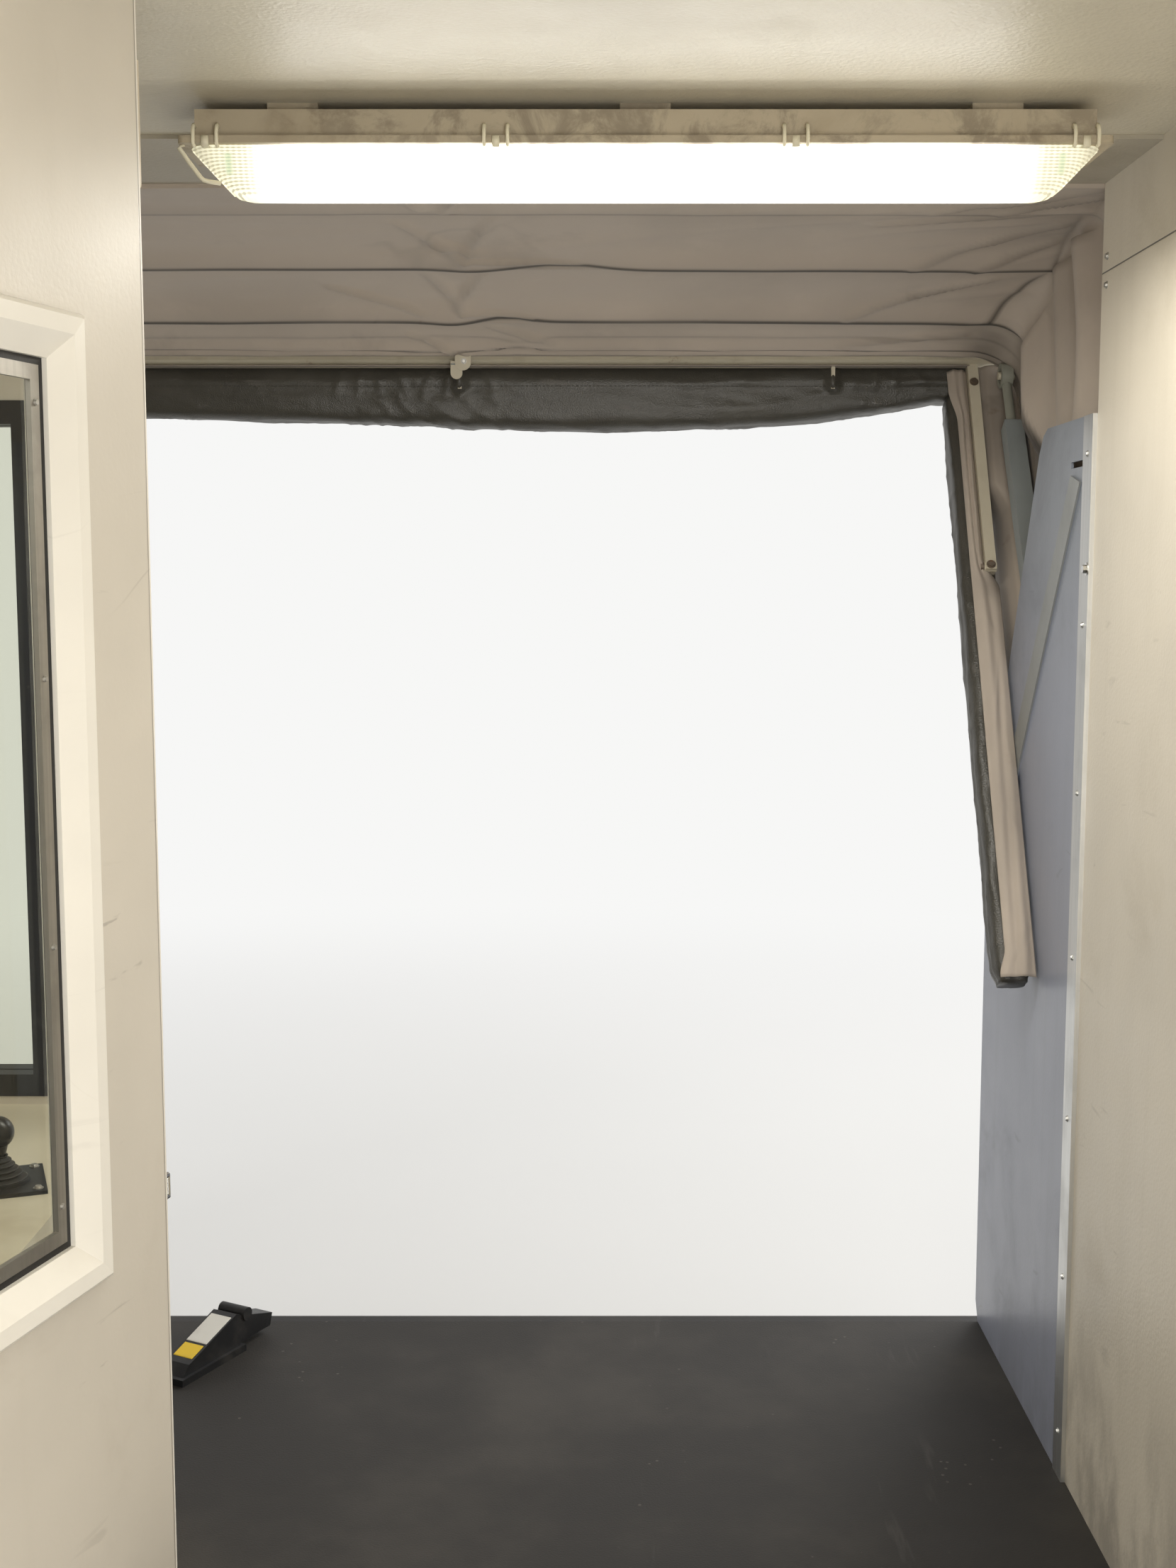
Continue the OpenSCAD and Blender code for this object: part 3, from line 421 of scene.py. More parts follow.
def glowing_lens(name, strength):
    """Prismatic lens lit from inside: white along the tubes, greenish and ribbed at its ends."""
    look = Look(name, specular_ior_level=0.5)
    along = abs(look.x - LAMP_X)
    lit = (1.0 - along.step(0.47, 0.585)) ** 2.5
    far = along.step(0.56, 0.635)
    pattern = look.waves(40.0, "X") * 0.35 + look.waves(75.0, "Z") * 0.65
    tone = look.mix((0.20, 0.19, 0.135), (0.095, 0.088, 0.062), far)
    tone = look.mix(tone, (0.04, 0.038, 0.024), pattern.step(0.6, 0.25) * 0.8)
    cap = abs(along - 0.573).step(0.007, 0.003) * abs(look.z - 2.468).step(0.016, 0.011)
    tone = look.mix(tone, (0.04, 0.075, 0.04), cap * 0.6)
    dusty = look.cloudy(9.0, 5.0, 0.6).step(0.45, 0.7)
    tone = look.mix(tone, (0.09, 0.085, 0.06), dusty * 0.4)
    look.feed(look.surface.inputs["Emission Color"], look.mix(tone, (1.0, 0.985, 0.93), lit))
    look.surface.inputs["Emission Strength"].default_value = strength
    look.bumped(pattern, 0.0012, 0.8)
    return look.finish(look.mix((0.62, 0.61, 0.53), (0.42, 0.40, 0.32), dusty), dusty * 0.3 + 0.22)


def tube_glow(name, strength):
    """Fluorescent tubes inside the lens, dull at their caps."""
    look = Look(name)
    ends = abs(look.x - LAMP_X).step(0.5, 0.56)
    look.feed(look.surface.inputs["Emission Color"], look.mix((1.0, 0.99, 0.95), (0.35, 0.42, 0.3), ends))
    look.surface.inputs["Emission Strength"].default_value = strength
    return look.finish(look.mix((0.9, 0.9, 0.86), (0.5, 0.55, 0.42), look.cloudy(12.0).step(0.4, 0.7)), 0.35)


# ---------------------------------------------------------------- mesh helpers

def new_piece(name, verts, faces, mat, uvs=None, smooth=True):
    """Makes a mesh piece with one finish, and with its cutting plan as UVs where given."""
    mesh = bpy.data.meshes.new(name)
    mesh.from_pydata([tuple(v) for v in verts], [], faces)
    if uvs is not None:
        layer = mesh.uv_layers.new(name="Cut")
        for loop in mesh.loops:
            layer.data[loop.index].uv = uvs[loop.vertex_index]
    mesh.polygons.foreach_set("use_smooth", [smooth] * len(mesh.polygons))
    mesh.materials.append(mat)
    mesh.update()
    piece = bpy.data.objects.new(name, mesh)
    bpy.context.scene.collection.objects.link(piece)
    return piece


def baked(piece):
    """Turns the piece's modifiers into plain mesh."""
    bpy.context.view_layer.update()
    graph = bpy.context.evaluated_depsgraph_get()
    mesh = bpy.data.meshes.new_from_object(piece.evaluated_get(graph))
    mesh.name = piece.name
    piece.modifiers.clear()
    piece.data = mesh
    return piece


def modifier(piece, kind, **settings):
    """Adds one modifier with its settings."""
    made = piece.modifiers.new(kind.title(), kind)
    for key, value in settings.items():
        setattr(made, key, value)
    return made


def grid(nu, nv, closed=False):
    """Faces of a net with nu points one way and nv the other."""
    faces = []
    for i in range(nu if closed else nu - 1):
        for j in range(nv - 1):
            k = (i + 1) % nu
            faces.append((i * nv + j, k * nv + j, k * nv + j + 1, i * nv + j + 1))
    return faces


def tube(verts, faces, path, radius, around=8):
    """Adds a round bar along a path of points to a mesh being written."""
    base, side = len(verts), None
    for i, point in enumerate(path):
        ahead = path[min(i + 1, len(path) - 1)] - path[max(i - 1, 0)]
        ahead.normalize()
        side = ahead.orthogonal().normalized() if side is None else (side - ahead * side.dot(ahead)).normalized()
        up = ahead.cross(side)
        for j in range(around):
            a = 2 * math.pi * j / around
            verts.append(point + side * (radius * math.cos(a)) + up * (radius * math.sin(a)))
    for i in range(len(path) - 1):
        for j in range(around):
            k = (j + 1) % around
            faces.append((base + i * around + j, base + i * around + k, base + (i + 1) * around + k,
                          base + (i + 1) * around + j))
    last = base + (len(path) - 1) * around
    faces += [tuple(base + around - 1 - j for j in range(around)), tuple(last + j for j in range(around))]


def ease(value, start, end):
    """0 at start, 1 at end, smooth between them; start may be the larger."""
    t = min(1.0, max(0.0, (value - start) / (end - start)))
    return t * t * (3 - 2 * t)


def ripple(*place):
    """Soft noise between -1 and 1, always the same at one place."""
    return noise.noise(Vector(place))


def ridge(*place):
    """Sharp crease pattern between 0 and 1."""
    return (1.0 - abs(noise.noise(Vector(place)))) ** 6


def crease(x, y, start, end, wide):
    """1 on the line from start to end, falling off to both sides and towards its ends."""
    ax, ay = start
    bx, by = end
    length = (bx - ax) ** 2 + (by - ay) ** 2
    t = ((x - ax) * (bx - ax) + (y - ay) * (by - ay)) / length
    u = min(1.0, max(0.0, t))
    gap = math.hypot(x - ax - u * (bx - ax), y - ay - u * (by - ay))
    return math.exp(-(gap / wide) ** 2) * (0.35 + 0.65 * math.sin(math.pi * min(1.0, max(0.0, 0.15 + 0.7 * u))))


def store_shade_and_soil(piece, values):
    """Stores how much painted shade, with some dirt, the cloth gets at each point, for its finish to read."""
    layer = piece.data.attributes.new("soil", "FLOAT", "POINT")
    layer.data.foreach_set("value", [min(1.0, max(0.0, v)) for v in values])


# ---------------------------------------------------------------- geometry node plans

class Plan:
    """A Geometry Nodes tree with named inputs."""

    def __init__(self, name):
        self.tree = bpy.data.node_groups.new(name, "GeometryNodeTree")
        self.tree.interface.new_socket("Geometry", in_out="INPUT", socket_type="NodeSocketGeometry")
        self.tree.interface.new_socket("Geometry", in_out="OUTPUT", socket_type="NodeSocketGeometry")
        self.source = self.tree.nodes.new("NodeGroupInput")
        self.sink = self.tree.nodes.new("NodeGroupOutput")

    def ask(self, name, kind, default):
        made = self.tree.interface.new_socket(name, in_out="INPUT", socket_type="NodeSocket" + kind)
        made.default_value = default
        return self.source.outputs[name]

    def node(self, kind, settings, values):
        made = self.tree.nodes.new(kind)
        for key, value in settings.items():
            setattr(made, key, value)
        for key, value in values.items():
            if isinstance(value, bpy.types.NodeSocket):
                self.tree.links.new(value, made.inputs[key])
            else:
                made.inputs[key].default_value = value
        return made

    def join(self, *parts):
        made = self.tree.nodes.new("GeometryNodeJoinGeometry")
        for part in parts:
            self.tree.links.new(part, made.inputs[0])
        return made.outputs[0]

    def close(self, geometry, mat):
        real = self.node("GeometryNodeRealizeInstances", {}, {0: geometry})
        done = self.node("GeometryNodeSetMaterial", {}, {"Geometry": real.outputs[0], "Material": mat})
        self.tree.links.new(done.outputs[0], self.sink.inputs[0])
        return self.tree


def run_plan(piece, tree, values):
    """Runs a Geometry Nodes plan on a piece with the named values, and turns it into plain mesh."""
    made = piece.modifiers.new("Plan", "NODES")
    made.node_group = tree
    for item in tree.interface.items_tree:
        if item.in_out == "INPUT" and item.name in values:
            made[item.identifier] = values[item.name]
    return baked(piece)


def fastener_plan(name, mat, sides):
    """Heads set on points, each along its own normal: a washer and a head a little narrower at its top."""
    plan = Plan(name)
    radius = plan.ask("Head radius", "Float", 0.006)
    height = plan.ask("Head height", "Float", 0.004)
    washer = plan.ask("Washer radius", "Float", 0.009)
    seed = plan.ask("Seed", "Int", 7)
    flat = plan.node("GeometryNodeMeshCylinder", {}, {"Vertices": 16, "Radius": washer, "Depth": 0.0016})
    low = plan.node("GeometryNodeTransform", {}, {0: flat.outputs["Mesh"], "Translation": (0, 0, 0.0006)})
    head = plan.node("GeometryNodeMeshCone", {}, {"Vertices": sides, "Radius Bottom": radius,
                                                  "Depth": height})
    slim = plan.node("ShaderNodeMath", {"operation": "MULTIPLY"}, {0: radius, 1: 0.82 if sides > 8 else 0.96})
    plan.tree.links.new(slim.outputs[0], head.inputs["Radius Top"])
    up = plan.node("GeometryNodeTransform", {}, {0: head.outputs["Mesh"], "Translation": (0, 0, 0.0012)})
    both = plan.join(low.outputs[0], up.outputs[0])
    normal = plan.node("GeometryNodeInputNamedAttribute", {"data_type": "FLOAT_VECTOR"}, {"Name": "facing"})
    spin = plan.node("FunctionNodeRandomValue", {"data_type": "FLOAT"}, {2: 0.0, 3: 3.0, "Seed": seed})
    turn = plan.node("FunctionNodeAlignRotationToVector", {"axis": "Z"}, {"Vector": normal.outputs[0]})
    own = plan.node("FunctionNodeAxisAngleToRotation", {}, {"Axis": (0, 0, 1), "Angle": spin.outputs[1]})
    whole = plan.node("FunctionNodeRotateRotation", {"rotation_space": "LOCAL"},
                      {0: turn.outputs[0], 1: own.outputs[0]})
    set_out = plan.node("GeometryNodeInstanceOnPoints", {},
                        {"Points": plan.source.outputs[0], "Instance": both, "Rotation": whole.outputs[0]})
    return plan.close(set_out.outputs[0], mat)


def stitch_plan(name, mat):
    """Thread stitches laid along an edge path at an even pitch."""
    plan = Plan(name)
    pitch = plan.ask("Pitch", "Float", 0.008)
    thick = plan.ask("Thread", "Float", 0.0009)
    line = plan.node("GeometryNodeMeshToCurve", {}, {0: plan.source.outputs[0]})
    even = plan.node("GeometryNodeCurveToPoints", {"mode": "LENGTH"}, {"Curve": line.outputs[0], "Length": pitch})
    half = plan.node("ShaderNodeMath", {"operation": "MULTIPLY"}, {0: pitch, 1: 0.62})
    thread = plan.node("GeometryNodeMeshCylinder", {}, {"Vertices": 5, "Radius": thick, "Depth": half.outputs[0]})
    turn = plan.node("FunctionNodeAlignRotationToVector", {"axis": "Z"}, {"Vector": even.outputs["Tangent"]})
    laid = plan.node("GeometryNodeInstanceOnPoints", {},
                     {"Points": even.outputs["Points"], "Instance": thread.outputs["Mesh"],
                      "Rotation": turn.outputs[0]})
    return plan.close(laid.outputs[0], mat)


def rib_plan(name, mat):
    """Thin ribs across the lens at given points, each as long as its point asks."""
    plan = Plan(name)
    length = plan.ask("Rib length", "Float", 0.1)
    radius = plan.ask("Rib radius", "Float", 0.0016)
    rib = plan.node("GeometryNodeMeshCylinder", {}, {"Vertices": 6, "Radius": radius, "Depth": length})
    laid = plan.node("GeometryNodeTransform", {}, {0: rib.outputs["Mesh"], "Rotation": (math.pi / 2, 0, 0)})
    reach = plan.node("GeometryNodeInputNamedAttribute", {"data_type": "FLOAT_VECTOR"}, {"Name": "facing"})
    own = plan.node("ShaderNodeVectorMath", {"operation": "ADD"}, {0: reach.outputs[0], 1: (1.0, 0.0, 1.0)})
    place = plan.node("GeometryNodeInstanceOnPoints", {},
                      {"Points": plan.source.outputs[0], "Instance": laid.outputs[0], "Scale": own.outputs[0]})
    return plan.close(place.outputs[0], mat)


def points_piece(name, places):
    """A mesh of loose points, each with the way it faces."""
    mesh = bpy.data.meshes.new(name)
    mesh.from_pydata([p for p, _ in places], [], [])
    facing = mesh.attributes.new("facing", "FLOAT_VECTOR", "POINT")
    for item, (_, way) in zip(facing.data, places):
        item.vector = way
    piece = bpy.data.objects.new(name, mesh)
    bpy.context.scene.collection.objects.link(piece)
    return piece


def fasteners(name, tree, places, body, radius, height, washer):
    """Sets one kind of screw, rivet or bolt on its places, as one piece that rides a body."""
    piece = run_plan(points_piece(name, places), tree,
                     {"Head radius": radius, "Head height": height, "Washer radius": washer})
    piece.data.polygons.foreach_set("use_smooth", [False] * len(piece.data.polygons))
    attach(piece, body)
    return piece


def on_door(x, y, z):
    """A place on the door leaf, given with the door shut and its hinge line at the origin."""
    a = math.radians(-DOOR_AJAR)
    px, py = x - 0.006, y
    return (DOOR_HINGE[0] + px * math.cos(a) - py * math.sin(a),
            DOOR_HINGE[1] + px * math.sin(a) + py * math.cos(a), DOOR_HINGE[2] + z)


def polar(radius, angle):
    """Depth and height of a place given from the bows' pivot line."""
    a = math.radians(angle)
    return PIVOT_Y + radius * math.cos(a), PIVOT_Z + radius * math.sin(a)


# ---------------------------------------------------------------- what a user would change

class CabColours(bpy.types.PropertyGroup):
    """Colours of the cab's finishes."""
    wall: FloatVectorProperty(name="Walls", description="Sprayed paint of the walls", subtype="COLOR",
                              default=linear(214, 206, 190), size=3)
    door: FloatVectorProperty(name="Door", description="Paint of the booth door", subtype="COLOR",
                              default=linear(216, 209, 196), size=3)
    ceiling: FloatVectorProperty(name="Ceiling", description="Paint of the ceiling", subtype="COLOR",
                                 default=linear(206, 199, 180), size=3)
    cloth: FloatVectorProperty(name="Canopy cloth", description="Coated cloth of the canopy", subtype="COLOR",
                               default=linear(190, 178, 165), size=3)
    vinyl: FloatVectorProperty(name="Front pad", description="Vinyl of the padded front edge", subtype="COLOR",
                               default=linear(69, 67, 61), size=3)
    guard: FloatVectorProperty(name="Side guards", description="Paint of the side guards", subtype="COLOR",
                               default=linear(133, 139, 149), size=3)
    cream: FloatVectorProperty(name="Bows", description="Paint of the bows and side bars", subtype="COLOR",
                               default=linear(205, 197, 176), size=3)
    floor: FloatVectorProperty(name="Floor", description="Rubber of the floor", subtype="COLOR",
                               default=linear(36, 33, 29), size=3)


class CabSizes(bpy.types.PropertyGroup):
    """Sizes of what is added to the solids."""
    cloth_thick: FloatProperty(name="Cloth thickness", description="Thickness of the canopy cloth",
                               default=0.0025, min=0.001, max=0.005, unit="LENGTH")
    arch: FloatProperty(name="Arch", description="How far the cloth stands up between two bows",
                        default=0.012, min=0.0, max=0.014, unit="LENGTH")
    lip: FloatProperty(name="Seam fold", description="Depth of the fold that hangs at each bow",
                       default=0.012, min=0.0, max=0.03, unit="LENGTH")
    stitch: FloatProperty(name="Stitch pitch", description="Distance from one stitch to the next",
                          default=0.009, min=0.004, max=0.02, unit="LENGTH")
    ribs: IntProperty(name="Lens ribs", description="Ribs on each sloping end of the lamp's lens",
                      default=15, min=6, max=30)
    glow: FloatProperty(name="Lamp", description="Strength of the lit lens", default=5.0, min=0.0, max=20.0)


def colours():
    return bpy.context.scene.cab_colours


def sizes():
    return bpy.context.scene.cab_sizes


def rgb(value):
    return (value[0], value[1], value[2])


LOOKS = {}


def look(name):
    """A finish by name, made the first time it is asked for."""
    if name in LOOKS:
        return LOOKS[name]
    c = colours()
    makers = {
        "wall": lambda: paint("Wall_paint", rgb(c.wall), 0.42, 0.7, 0.3, 0.3, 0.08, 0.2,
                              ("z", [2.401], 0.0016), FLOOR),
        "outer": lambda: paint("Outer_paint", rgb(c.wall), 0.45, 0.3, 0.4, 0.2, 0.35, 0.2,
                               ("x", [-0.75, 0.75], 0.002), None, 0.15),
        "booth": lambda: paint("Booth_paint", rgb(c.door), 0.4, 0.45, 0.3, 0.5, 0.15, 0.35, None, FLOOR),
        "door": lambda: paint("Door_paint", rgb(c.door), 0.38, 0.28, 0.4, 0.7, 0.05, 0.3, None, FLOOR + 0.05,
                              leaf_edge=0.9),
        # White enamel for the door's moulding, made lighter still to make up for the shade on its bevel: partly
        # its own colour, partly painted light.
        "moulding": lambda: paint("Moulding_enamel_painted_light", linear(245, 241, 231), 0.3, 0.12, 0.25, 0.2, 0.0, 0.1),
        "ceiling": lambda: paint("Ceiling_paint", rgb(c.ceiling), 0.36, 1.6, 0.3, 0.0, 0.0, 0.1,
                                 ("y", [-0.6], 0.0016)),
        # The header's paint is the ceiling's made darker: a painted shade standing in for the lamp's shadow there.
        "header": lambda: paint("Header_shaded_paint", linear(176, 169, 153), 0.42, 0.9, 0.5, 0.2, 0.0, 0.3),
        "roof": lambda: paint("Roof_paint", linear(196, 194, 186), 0.55, 0.3, 0.7, 0.2, 0.5, 0.2,
                              ("y", [-1.2, -0.6, 0.0, 0.6], 0.003), None, 0.2),
        "steel_frame": lambda: paint("Frame_paint", linear(104, 108, 110), 0.5, 0.35, 0.8, 0.4, 0.5, 0.4,
                                     None, None, 0.4),
        "deck": lambda: paint("Deck_paint", linear(92, 92, 90), 0.6, 0.3, 0.9, 0.5, 0.0, 0.5, None, None, 0.5),
        "rubber_floor": lambda: rubber("Floor_rubber", rgb(c.floor)),
        "buffer": lambda: rubber("Buffer_rubber", linear(40, 39, 38), 0.6, 0.5, 0.7, 120.0),
        "gasket": lambda: rubber("Gasket_rubber", linear(24, 24, 25), 0.45, 0.25, 0.2, 400.0, 0.0003),
        "glass": lambda: clear_pane("Pane_glass"),
        "aluminium": lambda: metal("Aluminium", (0.72, 0.72, 0.70), 0.34, (1.0, 1.0, 0.02), 0.35),
        "bead": lambda: metal("Bead_aluminium", (0.46, 0.44, 0.40), 0.38, (1.0, 1.0, 0.02), 0.6),
        "chrome": lambda: metal("Chrome", (0.78, 0.78, 0.76), 0.14, (1.0, 1.0, 1.0), 0.3),
        "zinc": lambda: metal("Zinc_plating", (0.56, 0.55, 0.52), 0.4, (1.0, 1.0, 1.0), 0.6, 0.12),
        "rusty": lambda: metal("Rusty_bolt", (0.30, 0.25, 0.2), 0.5, (1.0, 1.0, 1.0), 0.8, 0.9),
        "console": lambda: paint("Console_paint", linear(216, 207, 182), 0.42, 0.4, 0.5, 0.5, 0.0, 0.5,
                                 None, FLOOR),
        "console_top": lambda: paint("Console_laminate", linear(222, 214, 192), 0.35, 0.2, 0.6, 0.3, 0.0, 0.8),
        "black_plastic": lambda: plastic("Black_plastic", linear(26, 26, 27)),
        "knob": lambda: plastic("Knob_plastic", linear(22, 22, 23), 0.28, 300.0, 0.15),
        "boot": lambda: rubber("Boot_rubber", linear(28, 28, 28), 0.5, 0.35, 0.1, 500.0, 0.0003),
        "housing": lambda: paint("Lamp_enamel", linear(184, 172, 149), 0.5, 0.3, 0.8, 0.8, 0.0, 0.3,
                                 None, None, 0.05, blotch=1.0),
        "lens": lambda: glowing_lens("Lamp_lens", sizes().glow),
        "ribs": lambda: glowing_lens("Lens_ribs", sizes().glow * 1.4),
        "tubes": lambda: tube_glow("Lamp_tubes", sizes().glow * 1.2),
        "clips": lambda: plastic("Clip_plastic", linear(232, 226, 202), 0.4, 200.0, 0.35),
        # The guard's ridge colour is a painted shade, and the colour of its lower part a painted bluish
        # reflection.
        "guard": lambda: paint("Guard_enamel", rgb(c.guard), 0.34, 0.3, 0.4, 0.3, 0.12, 0.5, None, FLOOR - 0.25,
                               0.0, (1.5185, linear(141, 144, 143)), foot_painted_reflection=linear(150, 155, 170)),
        "cream": lambda: paint("Bow_paint", rgb(c.cream), 0.42, 0.3, 0.9, 0.4, 0.3, 0.5, None, None, 0.45),
        "strut": lambda: paint("Strut_paint", linear(140, 146, 146), 0.45, 0.3, 0.7, 0.4, 0.2, 0.5,
                               None, None, 0.25),
        "rod": lambda: paint("Rod_paint", linear(146, 147, 136), 0.45, 0.3, 0.9, 0.5, 0.3, 0.6, None, None, 0.45),
        "cloth": lambda: coated_cloth("Canopy_cloth", rgb(c.cloth)),
        "vinyl": lambda: padded_vinyl("Pad_vinyl", rgb(c.vinyl)),
        "thread": lambda: plastic("Thread", linear(70, 68, 62), 0.7, 900.0, 0.2),
        "yellow": lambda: plastic("Yellow_plate", linear(226, 190, 40), 0.4, 300.0, 0.4),
        "white_plate": lambda: plastic("White_plate", linear(214, 212, 204), 0.4, 300.0, 0.4),
    }
    LOOKS[name] = makers[name]()
    return LOOKS[name]


def dress(finish, *nodes):
    """Gives CAD nodes a finish through their material slots."""
    for name in nodes:
        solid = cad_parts[name]
        if not solid.material_slots:
            solid.data.materials.append(look(finish))
        for one in solid.material_slots:
            one.material = look(finish)


# ---------------------------------------------------------------- steps, one operator each

class CabOperator(bpy.types.Operator):
    bl_options = {"REGISTER", "UNDO"}

    def execute(self, context):
        self.make()
        return {"FINISHED"}


class CAB_OT_shell(CabOperator):
    """Paint the walls, ceiling, header, roof and portal"""
    bl_idname = "cab.paint_shell"
    bl_label = "Paint shell"

    def make(self):
        dress("wall", "right_wall", "left_wall")
        dress("outer", "rear_wall")
        dress("booth", "booth_wall", "booth_front")
        dress("ceiling", "ceiling")
        dress("header", "front_header")
        dress("roof", "roof")
        dress("steel_frame", "portal_flange", "floor_box")


class CAB_OT_floor(CabOperator):
    """Finish the floor, its buffer and the sensor that lies on it"""
    bl_idname = "cab.finish_floor"
    bl_label = "Finish floor"

    def make(self):
        dress("deck", "floor_deck")
        dress("rubber_floor", "floor_rubber")
        dress("buffer", "floor_buffer")
        dress("black_plastic", "floor_sensor")
        turn = Matrix.Translation((-0.095, 1.55, FLOOR)) @ Matrix.Rotation(math.radians(-28), 4, "Z")
        tilt = math.atan2(0.05, 0.15)
        plates = (("Yellow_label", "yellow", -0.105, -0.068, 0.024),
                  ("White_label", "white_plate", -0.062, 0.018, 0.026))
        for name, finish, y0, y1, half in plates:
            verts, faces = [], []
            for x, y in ((-half, y0), (half, y0), (half, y1), (-half, y1)):
                for lift, pull in ((0.0, 0.0), (0.0012, 0.0008)):
                    sx = x - math.copysign(pull, x)
                    sy = y + (pull if y == y0 else -pull)
                    z = 0.034 + (sy + 0.12) * math.tan(tilt) + lift
                    verts.append(turn @ Vector((sx, sy, z)))
            faces = [(1, 3, 5, 7), (0, 6, 4, 2)] + [(2 * i, 2 * ((i + 1) % 4), 2 * ((i + 1) % 4) + 1, 2 * i + 1)
                                                    for i in range(4)]
            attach(new_piece(name, verts, faces, look(finish), smooth=False), "cab")


class CAB_OT_booth(CabOperator):
    """Finish the booth's window, its console and the joystick, with a bellows boot"""
    bl_idname = "cab.finish_booth"
    bl_label = "Finish booth"

    def make(self):
        dress("gasket", "window_rubber")
        dress("glass", "window_glass")
        dress("console", "console_body")
        dress("console_top", "console_top")
        dress("black_plastic", "stick_flange")
        dress("knob", "stick")
        low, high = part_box("stick_boot")
        centre = ((low.x + high.x) / 2, (low.y + high.y) / 2)
        profile = []
        levels = 44
        for i in range(levels):
            t = i / (levels - 1)
            swell = 0.0032 * math.cos(t * 5 * 2 * math.pi)
            profile.append((0.0375 - 0.0255 * t ** 0.85 + swell * (1 - 0.5 * t),
                            low.z + 0.0004 + (high.z - low.z) * t))
        profile += [(BOOT_TOP_R, high.z - 0.001), (BOOT_TOP_R - 0.001, high.z - 0.004)]
        around = 56
        verts = [(centre[0] + r * math.cos(2 * math.pi * k / around),
                  centre[1] + r * math.sin(2 * math.pi * k / around), z)
                 for k in range(around) for r, z in profile]
        faces = grid(around, len(profile), True)
        boot = new_piece("Boot", verts, faces, look("boot"))
        modifier(boot, "SOLIDIFY", thickness=0.0012, offset=-1.0)
        baked(boot)
        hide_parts("stick_boot")
        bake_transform(boot)


class CAB_OT_door(CabOperator):
    """Paint the booth door and finish its window, bead and loop"""
    bl_idname = "cab.finish_door"
    bl_label = "Finish door"

    def make(self):
        dress("door", "door_leaf")
        dress("moulding", "door_frame")
        dress("gasket", "door_gasket")
        dress("bead", "door_bead")
        dress("glass", "door_glass")
        dress("chrome", "door_loop")


class CAB_OT_lamp(CabOperator):
    """Finish the lamp and rib the sloping ends of its lens"""
    bl_idname = "cab.finish_lamp"
    bl_label = "Finish lamp"

    def make(self):
        dress("housing", "lamp_housing")
        dress("tubes", "lamp_tubes")
        low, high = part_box("lamp_lens")
        middle = Vector(((low.x + high.x) / 2, (low.y + high.y) / 2, 0))
        long, wide = (high.x - low.x) / 2 - 0.001, (high.y - low.y) / 2 - 0.001
        profile = [(0.0, 0.0, 0.0), (0.009, 0.003, 0.010), (0.024, 0.008, 0.026), (0.037, 0.013, 0.040),
                   (0.046, 0.018, 0.0485), (0.054, 0.025, 0.0545), (0.064, 0.034, 0.0575), (0.09, 0.045, 0.0585),
                   (0.3, 0.058, 0.059)]
        verts, steps = [], 10
        for ends, sides, drop in profile:
            half_x, half_y = long - ends, wide - sides
            turn = max(0.004, min(0.03, half_y * 0.6))
            for corner, (sx, sy) in enumerate(((1, 1), (-1, 1), (-1, -1), (1, -1))):
                for i in range(steps):
                    a = math.radians(90 * corner + 90 * i / (steps - 1))
                    verts.append(middle + Vector((sx * (half_x - turn) + turn * math.cos(a),
                                                  sy * (half_y - turn) + turn * math.sin(a),
                                                  high.z - 0.0005 - drop)))
        loop = 4 * steps
        faces = [(i * loop + j, (i + 1) * loop + j, (i + 1) * loop + (j + 1) % loop, i * loop + (j + 1) % loop)
                 for i in range(len(profile) - 1) for j in range(loop)]
        faces.append(tuple(range((len(profile) - 1) * loop, len(profile) * loop)))
        lens = new_piece("Lens", verts, faces, look("lens"))
        modifier(lens, "SOLIDIFY", thickness=0.003, offset=0.0)
        baked(lens)
        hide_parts("lamp_lens")
        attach(lens, "cab")
        count = sizes().ribs
        places = []
        for side in (-1, 1):
            edge = middle.x + side * long
            for i in range(count):
                t = (i + 0.7) / count
                places.append(((edge - side * (0.0005 + 0.046 * t), middle.y, high.z - 0.0025 - 0.0485 * t),
                               (0, 1.0 - 0.36 * t, 0)))
        piece = run_plan(points_piece("Lens_ribs", places), rib_plan("Lens rib plan", look("ribs")),
                         {"Rib length": 2 * wide - 0.042, "Rib radius": 0.0013})
        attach(piece, "cab")
        self.clips(middle, high.z)

    def clips(self, middle, rim):
        """Bent wire clips over the rim, each with its hook, and the bail at the left end."""
        verts, faces = [], []
        for x in (-0.6016, -0.2048, 0.2048, 0.6016):
            for s in (-1, 1):
                for way in (-0.016, 0.016):
                    path = [(0.066, 0.022), (0.0705, 0.0245), (0.0745, 0.0215), (0.0778, 0.013), (0.0778, 0.001),
                            (0.0765, -0.0025), (0.070, -0.0035)]
                    tube(verts, faces, [middle + Vector((x + way, s * b, rim + c)) for b, c in path], 0.0027)
                hook = [(0.067, -0.0055), (0.0785, -0.0055), (0.0785, 0.009), (0.0765, 0.009),
                        (0.0765, -0.003), (0.067, -0.003)]
                base = len(verts)
                for px in (-0.005, 0.005):
                    verts += [middle + Vector((x + px, s * b, rim + c)) for b, c in hook]
                n = len(hook)
                faces += [tuple(base + i for i in range(n)), tuple(base + 2 * n - 1 - i for i in range(n))]
                faces += [(base + i, base + (i + 1) % n, base + (i + 1) % n + n, base + i + n) for i in range(n)]
        bail = [(0.006, 0.060, 0.001), (-0.0005, 0.060, -0.0035), (0.013, 0.056, -0.023), (0.026, 0.051, -0.0405),
                (0.030, 0.049, -0.0442), (0.0355, 0.047, -0.0455), (0.052, 0.041, -0.047)]
        tube(verts, faces, [middle + Vector((a - 0.64, -b, rim + c)) for a, b, c in bail], 0.0031)
        piece = face_out(new_piece("Clips", verts, faces, look("clips")))
        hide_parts("lamp_clips")
        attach(piece, "cab")


